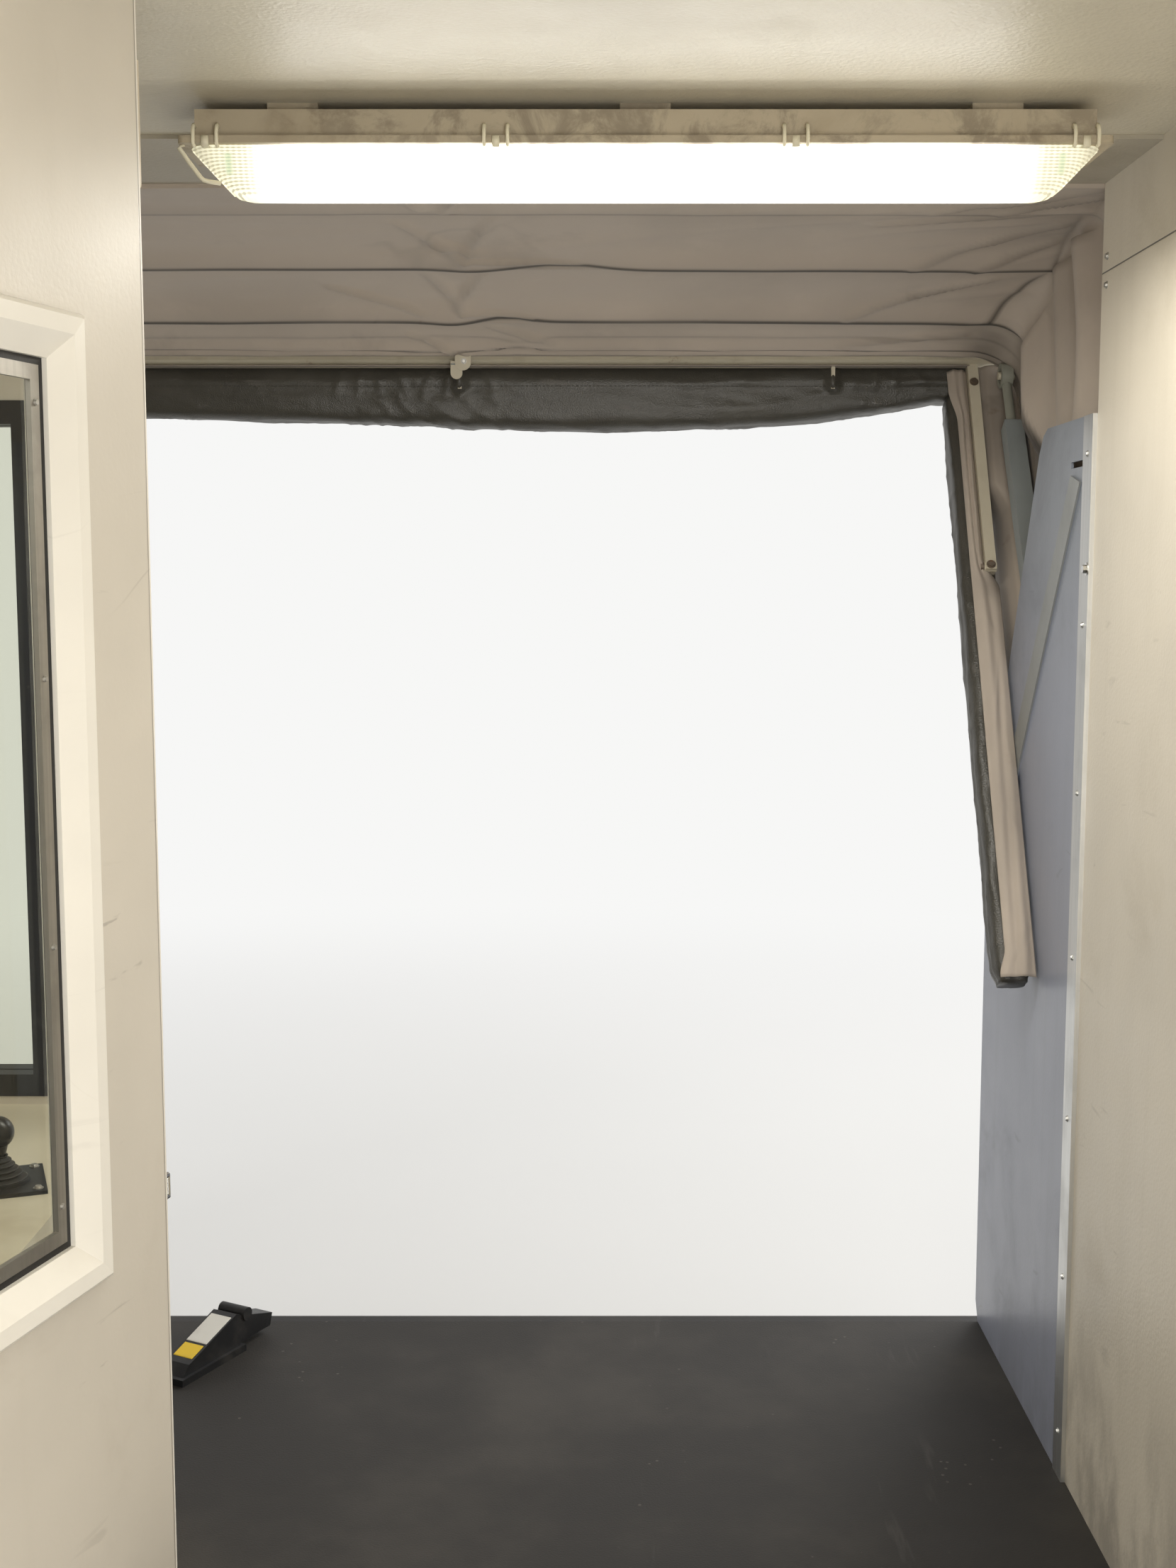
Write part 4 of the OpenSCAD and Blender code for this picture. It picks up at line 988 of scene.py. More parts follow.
class CAB_OT_frame(CabOperator):
    """Finish the bows, pivots, struts, guards and edge angles"""
    bl_idname = "cab.finish_frame"
    bl_label = "Finish canopy frame"

    def make(self):
        dress("cream", "bow_1", "bow_2", "bow_3", "bow_4", "canopy_pivots")
        dress("strut", "strut_tubes")
        dress("rod", "strut_rods")
        dress("guard", "guards")
        dress("aluminium", "edge_angles")


BAY_WIDTHS = (0.225, 0.302, 0.222, 0.161)
CREST = 0.011


def bay_steps(width):
    """Shares of the way across a bay, close together at its rear edge and its front fold."""
    steps = [0.0]
    while steps[-1] < width - 1e-5:
        near = width - steps[-1] < 0.052 or steps[-1] < 0.014
        steps.append(min(width, steps[-1] + (0.003 if near else 0.0085)))
    return [at / width for at in steps]


def bay_points(k):
    """Points, inward normals and lengths of one canopy bay, rear edge first."""
    corners = (0.03, 0.03, 0.014, 0.1, 0.105)
    c0, c1 = corners[k], corners[k + 1]
    width = BAY_WIDTHS[k]
    steps = bay_steps(width)
    cheek, bend, top = 74, 12, 330
    rows = []
    for i in range(2 * cheek + 2 * bend + top):
        row = []
        for v in steps:
            c = c0 + (c1 - c0) * v
            ci = min(i, 2 * cheek + 2 * bend + top - 1 - i)
            side = -1 if i < cheek + bend + top / 2 else 1
            if ci < cheek:
                r = HEM_R + (CLOTH_R - c - HEM_R) * ci / cheek
                x, nx, nr = CHEEK_X, -1.0, 0.0
                length, past = r - HEM_R, r - (CLOTH_R - c)
            elif ci < cheek + bend:
                a = (ci - cheek) / bend * math.pi / 2
                x = CHEEK_X - c + c * math.cos(a)
                r = CLOTH_R - c + c * math.sin(a)
                nx, nr = -math.cos(a), -math.sin(a)
                length, past = CLOTH_R - c - HEM_R + c * a, c * (a - math.pi / 2)
            else:
                t = (ci - cheek - bend) / (top / 2)
                x = (CHEEK_X - c) * (1 - t)
                r, nx, nr = CLOTH_R, 0.0, -1.0
                length, past = CLOTH_R - HEM_R + (CHEEK_X - c) * t, (CHEEK_X - c) * t
            row.append((side * x, r, side * nx, nr, v, length, past))
        rows.append(row)
    return rows, len(steps), width


def fold_depth(k, x):
    """Depth of the fold that hangs at the front of bay k, with the kinks the cloth has taken."""
    lip = sizes().lip
    own = lip * (0.82, 0.78 + 0.22 * ease(x, 0.45, 0.9), 0.8 + 0.2 * ease(x, 0.55, 1.1), 0.3)[k]
    own += lip * 0.14 * ripple(x * 1.5, k * 3.3, 2.0) + lip * 0.1 * ripple(x * 5.0, k * 3.3, 6.0)
    if k == 1:
        own -= 0.012 * math.exp(-((x - 0.63) / 0.09) ** 2) - 0.005 * math.exp(-((x - 0.45) / 0.06) ** 2)
        own -= 0.008 * math.exp(-((x + 0.85) / 0.12) ** 2)
    if k == 2:
        own -= 0.012 * math.exp(-((x - 0.51) / 0.06) ** 2) - 0.006 * math.exp(-((x - 0.40) / 0.05) ** 2)
        own -= 0.008 * math.exp(-((x + 0.55) / 0.10) ** 2)
    return max(own, -0.001)


WRINKLES = (
    ((0.30, 0.02, 0.38, 0.19, 0.010), (0.47, 0.05, 0.42, 0.20, 0.008), (-0.70, 0.04, -0.62, 0.20, 0.009),
     (1.28, 0.20, 1.52, 0.03, 0.012), (1.40, 0.21, 1.55, 0.10, 0.009)),
    ((0.33, 0.10, 0.43, 0.27, 0.011), (0.50, 0.08, 0.44, 0.26, 0.010), (0.44, 0.262, 0.66, 0.285, 0.007),
     (0.38, 0.20, 0.47, 0.245, 0.008), (-0.72, 0.12, -0.82, 0.28, 0.010), (-0.98, 0.16, -0.86, 0.285, 0.008),
     (1.30, 0.285, 1.54, 0.10, 0.012), (1.42, 0.29, 1.55, 0.20, 0.009), (1.20, 0.10, 1.53, 0.02, 0.010)),
    ((0.36, 0.03, 0.42, 0.18, 0.010), (0.47, 0.03, 0.41, 0.17, 0.009), (0.42, 0.185, 0.56, 0.205, 0.007),
     (-0.60, 0.05, -0.52, 0.20, 0.009), (0.16, 0.10, 0.34, 0.19, 0.007), (1.20, 0.20, 1.47, 0.05, 0.008)),
    ((0.47, 0.02, 0.60, 0.085, 0.008), (0.30, 0.05, 0.42, 0.13, 0.006), (1.20, 0.09, 1.46, 0.05, 0.007),
     (-0.60, 0.03, -0.40, 0.09, 0.007)),
)


def bay_hollow(k, x, r, nr, v, past):
    """How far the cloth of bay k stands in from its straight line there, and how much painted shade, with some
    dirt, it gets there.
    """
    width = BAY_WIDTHS[k]
    t = (1 - v) * width
    across = v * width
    over = -nr
    lip = ease(t, 0.085, CREST) ** 1.3 * ease(t, 0.0, CREST * 0.8) * fold_depth(k, x)
    sag = -sizes().arch * (0.2, 1.0, 1.0, 0.7)[k] * math.sin(math.pi * v) ** 0.8
    sag *= 1 + 0.25 * ripple(x * 0.9, v * 2, k * 5.0)
    gather = ease(abs(x), 1.15, 1.5)
    folds = 0.0035 * (ridge(x * 0.7, across * 7.0, k * 4.7) - 0.35)
    folds += 0.0025 * (1 + 2.2 * gather) * (ridge(x * 2.2 + across * 7, across * 5.0, k * 2.9 + 8) - 0.3)
    # soot collects painted shade along each wrinkle's crease, more where the cloth gathers, with some dirt.
    soot = 0.0
    for ax, ay, bx, by, wide in WRINKLES[k]:
        if abs(x - (ax + bx) / 2) < abs(bx - ax) / 2 + 3 * wide:
            mark = crease(x, across, (ax, ay), (bx, by), wide)
            folds += 0.0115 * mark
            soot += (0.12 + 0.2 * gather) * mark
    edge = math.sin(math.pi * v) ** 0.5 if 0 < v < 1 else 0.0
    # grime sums the cloth's painted shade, with some dirt; the wrinkles' shade goes on the roof only.
    grime = soot * over
    # Bay 4, above the pad: painted shadow lines under its three small folds, and painted shade in its side
    # corners.
    if k == 3:
        kink = 0.013 * math.exp(-((x - 0.53) / 0.05) ** 2) - 0.004 * math.exp(-((x - 0.36) / 0.06) ** 2)
        lines = ((0.100 - kink, 0.004, 0.2), (0.056 + kink, 0.011, 1.0), (0.026 + 0.3 * kink, 0.003, 0.45))
        for at, deep, painted_shadow in lines:
            at += 0.002 * ripple(x * 2.4, at * 30, 2.0)
            folds += deep * ease(t, at + 0.03, at) * ease(t, at - 0.007, at)
            grime += painted_shadow * math.exp(-((t - at + 0.004) / 0.0042) ** 2) * over
        corner = 0.5 * math.exp(-((past + 0.03) / 0.05) ** 2) * ease(v, 0.05, 0.3)
        grime += corner * (0.6 + ripple(x * 9, v * 4, 2.0))
    roof = sag + lip + folds * edge
    # Painted shadow: a narrow line along the crest of the fold that hangs at each bow, and softer shade on the
    # cloth near the front edge.
    line = math.exp(-((t - CREST - 0.0015) / 0.0048) ** 2) * (0.4, 1.0, 1.0, 0.0)[k]
    line = line * (0.85 + 0.25 * ripple(x * 3.0, k * 2.0, 1.0))
    grime += over * (line + 0.16 * math.exp(-(t / 0.03) ** 2))
    # Painted shade, with some dirt, in the gathered corners by the side walls.
    grime += 0.10 * gather * over * (0.5 + ripple(x * 3, across * 9, 4.0))
    # Bays 2 and 3: painted shade along the bend from the roof into the side, growing from the rear edge.
    if k in (1, 2):
        grime += (0.3, 0.85)[k - 1] * ease(v, 0.0, 0.3) * math.exp(-((past - 0.002) / 0.0055) ** 2)
    depth = (0.030, 0.034, 0.040, 0.006)[k] * ease(r, (1.2, 0.8, 1.28, 0.5)[k], (1.4, 1.2, 1.42, 0.9)[k])
    if k == 2:
        wave = ease(v, 0.15, 0.86) * ease(t, 0.0, 0.022)
    elif k == 1:
        wave = 0.45 + 0.55 * math.sin(2 * math.pi * (1.6 * v + 0.12 * ripple(r * 2.0, k * 1.7, x)) - 1.2)
    else:
        wave = 0.5 - 0.5 * math.cos(2 * math.pi * (v + 0.10 * ripple(r * 2.2, k * 1.7, x)))
    wall = depth * max(0.0, wave) * (1.0 + 0.3 * ripple(r * 3.1, v * 3, k * 9.0)) * min(1.0, edge * 1.3)
    wall += 0.003 * edge * (ridge(r * 3.5, v * 6.0, k * 11.0 + x) - 0.3)
    # Painted shadow on bay 4's side cloth, in the gap behind the guard and the strut, more above r 1.0.
    if k == 3:
        painted_gap_shadow = (1 - over) * (0.34 * ease(r, 0.5, 0.9) + 0.42 * ease(r, 0.98, 1.2))
        grime += painted_gap_shadow * (0.85 + 0.4 * ripple(r * 4, v * 3, 3.0))
    # Painted shadow on bay 3's side cloth near its front edge, beside the strut, wider lower down.
    if k == 2:
        wide = 0.018 + 0.09 * ease(r, 1.6, 1.25)
        painted_shadow = (1 - over) * ease(t, wide, wide * 0.7) * ease(r, 0.75, 1.0)
        grime += painted_shadow * (0.95 + 0.3 * ripple(r * 3, v * 5, 1.0))
    return roof * over + wall * (1 - over), grime


def nested(r):
    """How far the lower cheeks of the two front bays stand in, so that they fold beside the rear ones."""
    return 0.0075 * ease(r, 1.0, 0.75)


class CAB_OT_canopy(CabOperator):
    """Sew the four bays of the canopy from coated cloth, folded and sagging between the bows"""
    bl_idname = "cab.sew_canopy"
    bl_label = "Sew canopy"

    def make(self):
        turned = 0.04
        for k in range(4):
            rows, nv, width = bay_points(k)
            verts, cuts, grime = [], [], []
            for row in rows:
                for x, r, nx, nr, v, length, past in row:
                    # bay_hollow also gives the painted shade for the cloth's finish, with some dirt.
                    inward, dirt = bay_hollow(k, x, r, nr, v, past)
                    x2, r2 = x + nx * inward, r + nr * inward
                    if k > 1:
                        x2 += nx * nested(r)
                    if k == 0:
                        y1, z1 = polar(r2, BOW_ANGLES[0])
                        w = max(0.0, (v - turned) / (1 - turned))
                        if abs(x) > 1.5858:
                            y0, z0 = 0.98, 1.05 + (2.535 - 1.05) * (r - HEM_R) / (CLOTH_R - HEM_R)
                            w = v
                        else:
                            y0 = 1.0222
                            z0 = 2.5405 - (CLOTH_R - r2) + 0.034 * max(0.0, 1 - v / turned)
                        y, z = y0 + (y1 - y0) * w, z0 + (z1 - z0) * w
                        if y < 1.03 and abs(x2) < 1.5872 and abs(x) > 1.5858:
                            x2 = math.copysign(1.5872, x)
                    else:
                        short = 0.105 * -nr * ease(v, 0.6, 1.0) if k == 3 else 0.0
                        r2 += 0.0115 * -nr * ease(v, 0.84, 1.0) if k == 3 else 0.0
                        y, z = polar(r2, BOW_ANGLES[k - 1] + (BOW_ANGLES[k] - BOW_ANGLES[k - 1]) * (v - short))
                    verts.append((x2, y, z))
                    cuts.append((length, v * width + k * 0.7))
                    grime.append(dirt)
            piece = new_piece("Canopy_bay_%d" % (k + 1), verts, grid(len(rows), nv), look("cloth"), cuts)
            store_shade_and_soil(piece, grime)
            area = sum(p.area for p in piece.data.polygons)
            modifier(piece, "SOLIDIFY", thickness=sizes().cloth_thick, offset=0.0)
            baked(piece)
            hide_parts("cloth_%d" % (k + 1))
            front = (0.0, *polar(1.2, BOW_ANGLES[k]))
            rear = (0.0, 1.03, front[2]) if k == 0 else (0.0, *polar(1.2, BOW_ANGLES[k - 1]))
            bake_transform(piece)
            area / 6.2


def pad_bottom(x):
    """Height of the lower edge of the front pad: it sags in the middle and rises to its ends."""
    rise = 0.058 * (max(0.0, abs(x) - 0.5) / 0.93) ** 3.2 + 0.028 * ease(x, 0.75, -0.35) * ease(x, -1.5, -0.9)
    return 2.2195 + min(rise, 0.0575) + 0.003 * ripple(x * 1.3, 0.0, 5.0)


# Where the vinyl of the front pad is pinched, and how strongly.
PINCHES = ((0.40, 1.0), (0.21, 0.8), (0.95, 0.4), (1.32, 0.7), (-0.55, 0.6), (-1.0, 0.8), (-1.35, 0.6))


def tab_lump(x):
    """Where the pad's carrier tabs push the vinyl and its hem outwards."""
    return sum(math.exp(-((x - at) / 0.013) ** 2) for at in (-1.2, -0.4, 0.4, 1.2))


def on_front(side, x, r, d):
    """A place given across, along and square to the plane of the front bow's legs."""
    c, s = math.cos(math.radians(BOW_ANGLES[3])), math.sin(math.radians(BOW_ANGLES[3]))
    return (side * x, PIVOT_Y + r * c - d * s, PIVOT_Z + r * s + d * c)


class CAB_OT_pads(CabOperator):
    """Pad the front edge with wrinkled vinyl rolls"""
    bl_idname = "cab.pad_front_edge"
    bl_label = "Pad front edge"

    def make(self):
        verts, cuts = [], []
        nx, around = 640, 60
        for i in range(nx):
            x = -PAD_END + 2 * PAD_END * i / (nx - 1)
            end = ease(PAD_END - abs(x), 0.0, 0.03)
            top, low = PAD_TOP + 0.0008 * ripple(x * 2.0, 1.0, 1.0), pad_bottom(x)
            rolled = 2.322 + 0.004 * ripple(x * 1.6, 3.0, 1.0)
            half = (top - low) / 2
            mid = (top + low) / 2
            pinch, creases = 0.0, []
            for at, strong in PINCHES:
                near = math.exp(-((x - at) / 0.10) ** 2)
                pinch += strong * near
                if near > 0.05:
                    creases += [(at + step, strong * deep, lean) for step, deep, lean in
                                ((-0.055, 0.8, -0.35), (-0.022, 1.0, -0.12), (0.012, 0.7, 0.10), (0.05, 0.9, 0.4))]
            lump = tab_lump(x)
            for j in range(around):
                a = 2 * math.pi * j / around
                cy, cz = math.cos(a), math.sin(a)
                sq = (abs(cy) ** 4.5 + abs(cz) ** 4.5) ** (-1 / 4.5)
                y = BACK_Y + PAD_DEEP + PAD_DEEP * cy * sq * (0.82 + 0.18 * end)
                z = mid + half * cz * sq * (0.8 + 0.2 * end)
                crush = 0.004 * (ridge(x * 2.6, a * 0.9, 4.0) - 0.5)
                crush += 0.0045 * pinch * (ridge(x * 15 + cz * 1.5, cz * 1.2, 2.0) - 0.55)
                crush += 0.0022 * (ridge(x * 7.0 + cz * 2, cy * 2.0, 9.0) - 0.5)
                down = (1 - cz * sq) / 2
                for at, strong, lean in creases:
                    gap = (x - at - lean * down * 0.13) / 0.008
                    if abs(gap) < 3:
                        crush += strong * math.exp(-gap * gap) * (0.0062 * ease(down, 0.85, 0.1) - 0.001)
                free = 1.0 if cy > -0.2 else 0.85
                y += cy * crush * free
                z += cz * crush * free * (1 if cz < 0.5 else 0.4)
                if cy < 0:
                    y += 0.0075 * ease(z, rolled + 0.014, top) ** 1.3
                    y -= 0.0035 * math.exp(-((z - rolled) / 0.009) ** 2)
                    y -= 0.0145 * lump * ease(z, 2.295, 2.31)
                verts.append((x, min(max(y, BACK_Y - 0.0065 - 0.0145 * lump), BACK_Y + 2 * PAD_DEEP), z))
                cuts.append((x + 1.6, a * 0.075))
        faces = [f[::-1] for f in grid(nx, around)]
        faces += [(i * around + around - 1, i * around, (i + 1) * around, (i + 1) * around + around - 1)[::-1]
                  for i in range(nx - 1)]
        faces += [tuple(range(around)), tuple(reversed(range((nx - 1) * around, nx * around)))]
        top_roll = new_piece("Front_roll", verts, faces, look("vinyl"), cuts)
        face_out(top_roll)
        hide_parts("front_pads")
        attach(top_roll, "front_bow")
        for side, word in ((1, "right"), (-1, "left")):
            verts, cuts = [], []
            long, around = 210, 44
            for i in range(long):
                r = 0.302 + 1.290 * i / (long - 1)
                end = ease(r - 0.302, 0.0, 0.03)
                for j in range(around):
                    a = 2 * math.pi * j / around
                    cx, cd = math.cos(a), math.sin(a)
                    sq = (abs(cx) ** 4.2 + abs(cd) ** 4.2) ** (-1 / 4.2)
                    crush = 0.003 * (ridge(r * 4.0, a * 1.2, side * 3.0) - 0.5)
                    crush += 0.002 * (ridge(r * 11, cx * 2, 6) - 0.5)
                    x = 1.475 + (0.0365 * cx * sq + cx * crush) * (0.75 + 0.25 * end)
                    d = -0.0565 + (0.0368 * cd * sq + cd * crush) * (0.75 + 0.25 * end)
                    verts.append(on_front(side, x, r, min(d, -0.0195)))
                    cuts.append((r, a * 0.034))
            last = around - 1
            faces = grid(long, around)
            faces += [(i * around + last, (i + 1) * around + last, (i + 1) * around, i * around)
                      for i in range(long - 1)]
            faces += [tuple(range(around)), tuple(range((long - 1) * around, long * around))]
            roll = new_piece("Side_roll_" + word, verts, faces, look("vinyl"), cuts)
            face_out(roll)
            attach(roll, "front_bow")


class CAB_OT_flaps(CabOperator):
    """Hang the cloth flaps that close the gaps round the front bow"""
    bl_idname = "cab.hang_flaps"
    bl_label = "Hang flaps"

    def make(self):
        nx, nz = 520, 12
        verts, cuts, grime = [], [], []
        for i in range(nx):
            x = -1.49 + 2.98 * i / (nx - 1)
            wave = ripple(x * 2.6, 4.0, 1.0)
            for j in range(nz):
                t = j / (nz - 1)
                y = 1.8965 + 0.045 * t
                z = 2.3542 - 0.0022 * ease(t, 0.0, 0.3) - 0.0012 * wave * math.sin(math.pi * t)
                verts.append((x, y, z))
                cuts.append((x + 1.6, 3.4 + 0.045 * t))
                # Painted shade: the hem is shaded throughout, more so as it runs in under the pad.
                grime.append(0.35 + 0.5 * t)
        self.hang("Top_hem", verts, grid(nx, nz), cuts, grime, (2.98, 0.045))
        for side, word in ((1, "right"), (-1, "left")):
            low = ((1.5275, -0.097), (1.531, -0.075), (1.538, -0.045), (1.549, -0.02), (1.564, -0.007),
                   (1.5862, -0.0035), (1.5856, 0.013))
            top = ((1.5096, -0.028), (1.5098, -0.018), (1.5115, -0.008), (1.524, -0.0045), (1.554, -0.005),
                   (1.5862, -0.0035), (1.5856, 0.013))
            long, wide = 170, 37
            verts, cuts, grime = [], [], []
            for i in range(long):
                r = FLAP_R + 1.348 * i / (long - 1)
                high = ease(r, 1.307, 1.37)
                for j in range(wide):
                    u = j / (wide - 1)
                    at = min(5, int(u * 6))
                    w = u * 6 - at
                    x, d = [low[at][n] * (1 - w) + low[at + 1][n] * w for n in (0, 1)]
                    xt, dt = [top[at][n] * (1 - w) + top[at + 1][n] * w for n in (0, 1)]
                    fold = 0.004 * math.sin(2 * math.pi * (2.2 * u + 0.4 * ripple(r * 2.0, side, 3.0)))
                    fold = fold * math.sin(math.pi * u) ** 1.5
                    limit = -0.0025 if at < 5 else 0.001 + 0.019 * ease(r, 0.55, 1.1)
                    d = min(limit, d + (dt - d) * high + fold)
                    verts.append(on_front(side, x + (xt - x) * high - nested(r) * ease(u, 0.5, 0.85), r, d))
                    cuts.append((r, 3.6 + 0.12 * u))
                    # Patchy dirt, and painted shade behind the strut: more of it higher up and towards the
                    # gusset's inner, deeper edge.
                    dirt = 0.16 + 0.25 * ease(r, 1.15, 1.5) + 0.4 * ripple(r * 5.0, u * 2.0, 6.0)
                    grime.append(dirt + 0.4 * ease(u, 0.4, 0.0))
            self.hang("Gusset_" + word, verts, grid(long, wide), cuts, grime, (1.348, 0.12))
            long, wide = 170, 26
            verts, cuts, grime = [], [], []
            for i in range(long):
                r = FLAP_R + 1.341 * i / (long - 1)
                short = ease(r, 1.12, 1.19)
                x1 = 1.5135 - 0.029 * short
                for j in range(wide):
                    u = j / (wide - 1)
                    x0 = 1.4585 - 0.014 * ease(r, 1.52, 1.6) - 0.012 * ease(r, 0.36, 0.31)
                    x = x0 + (x1 - x0) * u + 0.004 * ripple(r * 1.8, 2.0, side) * (1 - u)
                    loose = math.sin(math.pi * u)
                    rise = 0.004 + 0.007 * loose ** 0.7
                    rise += 0.0045 * math.sin(2 * math.pi * (1.5 * u + 0.35 * ripple(r * 1.6, 7.0, side))) * loose
                    rise += 0.004 * (ridge(r * 5.0, u * 1.4, 5.0 + side) - 0.4) * loose
                    verts.append(on_front(side, x, r, -0.0185 + max(0.0012, rise * (0.4 + 0.6 * loose))))
                    cuts.append((r, 4.0 + 0.06 * u))
                    # Patchy dirt, and a darker band across the flap at r 1.13, below the bar's lower end, growing
                    # towards its outer edge.
                    dirt = 0.08 + 0.25 * ripple(r * 4.0, u * 2.0, 8.0)
                    grime.append(dirt + 0.5 * math.exp(-((r - 1.13) / 0.03) ** 2) * u)
            self.hang("Side_flap_" + word, verts, grid(long, wide), cuts, grime, (1.341, 0.055))

    def hang(self, name, verts, faces, cuts, grime, cut):
        """Makes one flap of cloth that rides the front bow."""
        piece = new_piece(name, verts, faces, look("cloth"), cuts)
        store_shade_and_soil(piece, grime)
        area = sum(p.area for p in piece.data.polygons)
        modifier(piece, "SOLIDIFY", thickness=0.002, offset=0.0)
        baked(piece)
        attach(piece, "front_bow")
        area / cut[0]


def face_out(piece):
    """Makes a closed mesh's faces point outwards."""
    net = bmesh.new()
    net.from_mesh(piece.data)
    bmesh.ops.recalc_face_normals(net, faces=net.faces)
    net.to_mesh(piece.data)
    net.free()
    return piece


class CAB_OT_stitches(CabOperator):
    """Stitch the seam along the rear face of the front pad"""
    bl_idname = "cab.stitch_seams"
    bl_label = "Stitch seams"

    def make(self):
        mesh = bpy.data.meshes.new("Pad_stitches")
        roll = bpy.data.objects["Front_roll"].data
        skin = BVHTree.FromPolygons([v.co for v in roll.vertices], [tuple(p.vertices) for p in roll.polygons])
        path = []
        for i in range(600):
            x = -1.49 + 2.98 * i / 599
            z = 2.312 + 0.003 * ripple(x * 2.0, 1.0, 1.0)
            hit = skin.ray_cast(Vector((x, BACK_Y - 0.06, z)), Vector((0.0, 1.0, 0.0)))[0]
            path.append((x, hit.y - 0.0004, z))
        mesh.from_pydata(path, [(i, i + 1) for i in range(599)], [])
        piece = bpy.data.objects.new("Pad_stitches", mesh)
        bpy.context.scene.collection.objects.link(piece)
        run_plan(piece, stitch_plan("Stitch plan", look("thread")), {"Pitch": sizes().stitch, "Thread": 0.0009})
        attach(piece, "front_bow")


class CAB_OT_fasteners(CabOperator):
    """Set the screws, rivets and bolts on their pieces"""
    bl_idname = "cab.set_fasteners"
    bl_label = "Set fasteners"

    def make(self):
        screw = fastener_plan("Pan head screw", look("zinc"), 14)
        rivet = fastener_plan("Blind rivet", look("aluminium"), 12)
        hexagon = fastener_plan("Hexagon bolt", look("rusty"), 6)
        bright = fastener_plan("Bright bolt", look("chrome"), 6)
        levels = [2.110 - 0.288 * i for i in range(7)]
        angles = []
        for side in (-1, 1):
            angles += [((side * 1.517, 1.048, z), (-side, 0, 0)) for z in levels]
            angles += [((side * 1.535, 1.023, z + 0.07), (0, 1, 0)) for z in levels[1:]]
        fasteners("Angle_rivets", rivet, angles, "cab", 0.0042, 0.002, 0.0056)
        fasteners("Angle_bolts", bright, [((s * 1.517, 1.032, 1.917), (-s, 0, 0)) for s in (-1, 1)], "cab",
                  0.0075, 0.006, 0.011)
        walls = []
        for y in [0.991 - 0.47 * i for i in range(6)]:
            for z in (2.425, 2.379):
                walls.append(((X_IN, y, z), (-1, 0, 0)))
                walls.append(((-X_IN, y, z), (1, 0, 0)))
        fasteners("Wall_screws", screw, walls, "cab", 0.005, 0.003, 0.0062)
        bead = []
        square = (math.cos(math.radians(-DOOR_AJAR)), math.sin(math.radians(-DOOR_AJAR)), 0)
        for z in (2.083, 1.795, 1.506, 1.218):
            bead += [(on_door(-0.013, y, z - DOOR_HINGE[2]), square) for y in (0.205, 0.695)]
        for y in (0.33, 0.45, 0.57):
            bead += [(on_door(-0.013, y, z), square) for z in (0.875, 1.806)]
        fasteners("Bead_screws", screw, bead, "booth_door", 0.0032, 0.0018, 0.0036)
        plate = []
        for a in (65, 155, 245, 335):
            t = math.radians(a)
            plate.append(((-0.195 + 0.074 * math.cos(t), 0.545 + 0.074 * math.sin(t), 1.016), (0, 0, 1)))
        fasteners("Stick_screws", screw, plate, "cab", 0.0055, 0.003, 0.0075)
        pins = []
        for side in (-1, 1):
            pins.append(((side * 1.534, 1.066, 1.15), (-side, 0, 0)))
            pins += [((side * 1.597, y, z), (side, 0, 0)) for y in (0.94, 0.99) for z in (0.93, 0.87)]
        fasteners("Pivot_bolts", hexagon, pins, "cab", 0.011, 0.008, 0.015)
        front = []
        c, s = math.cos(math.radians(BOW_ANGLES[3])), math.sin(math.radians(BOW_ANGLES[3]))
        for side in (-1, 1):
            r = BOW_R - 0.5
            front.append(((side * 1.484, PIVOT_Y + r * c + 0.012 * s, PIVOT_Z + r * s - 0.012 * c),
                          (-side, 0, 0)))
            for r in (BOW_R - 0.5, BOW_R - 0.06):
                facing = Vector(on_front(side, 1.497, r, 1.0)) - Vector(on_front(side, 1.497, r, 0.0))
                front.append((on_front(side, 1.497, r, -0.0008), tuple(facing)))
        fasteners("Bar_bolts", hexagon, front, "front_bow", 0.0075, 0.005, 0.0095)


class CAB_OT_bracket(CabOperator):
    """Hang the small bracket plates on the front bow"""
    bl_idname = "cab.hang_brackets"
    bl_label = "Hang brackets"

    def make(self):
        for name, x, y, wide, top, drop, finish in (
                ("Bracket_plate", 0.410, 1.862, 0.017, 2.3755, 0.036, "cream"),
                ("Bracket_tongue", 0.396, 1.8662, 0.0125, 2.360, 0.038, "cream")):
            outline = [(-wide, 0.0), (wide, 0.0)]
            outline += [(wide * math.cos(a), -drop + wide + wide * math.sin(a))
                        for a in [-math.pi * i / 14 for i in range(15)]]
            n = len(outline)
            verts = [(x + px, y + back, top + pz) for back in (0.0, 0.003) for px, pz in outline]
            faces = [tuple(range(n)), tuple(range(2 * n - 1, n - 1, -1))]
            faces += [(i, i + n, (i + 1) % n + n, (i + 1) % n) for i in range(n)]
            piece = new_piece(name, verts, faces, look(finish), smooth=False)
            face_out(piece)
            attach(piece, "front_bow")
        verts = [(x, y, z) for x in (0.384, 0.418) for y in (1.8655, 1.9) for z in (2.3515, 2.3545)]
        faces = [(0, 1, 3, 2), (4, 6, 7, 5), (0, 4, 5, 1), (2, 3, 7, 6), (0, 2, 6, 4), (1, 5, 7, 3)]
        arm = new_piece("Bracket_arm", verts, faces, look("strut"), smooth=False)
        face_out(arm)
        modifier(arm, "BEVEL", width=0.0008, segments=2)
        baked(arm)
        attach(arm, "front_bow")
        screw = fastener_plan("Bracket screw", look("zinc"), 14)
        fasteners("Bracket_screws", screw, [((0.412, 1.862, 2.3585), (0, -1, 0))], "front_bow",
                  0.0045, 0.003, 0.006)


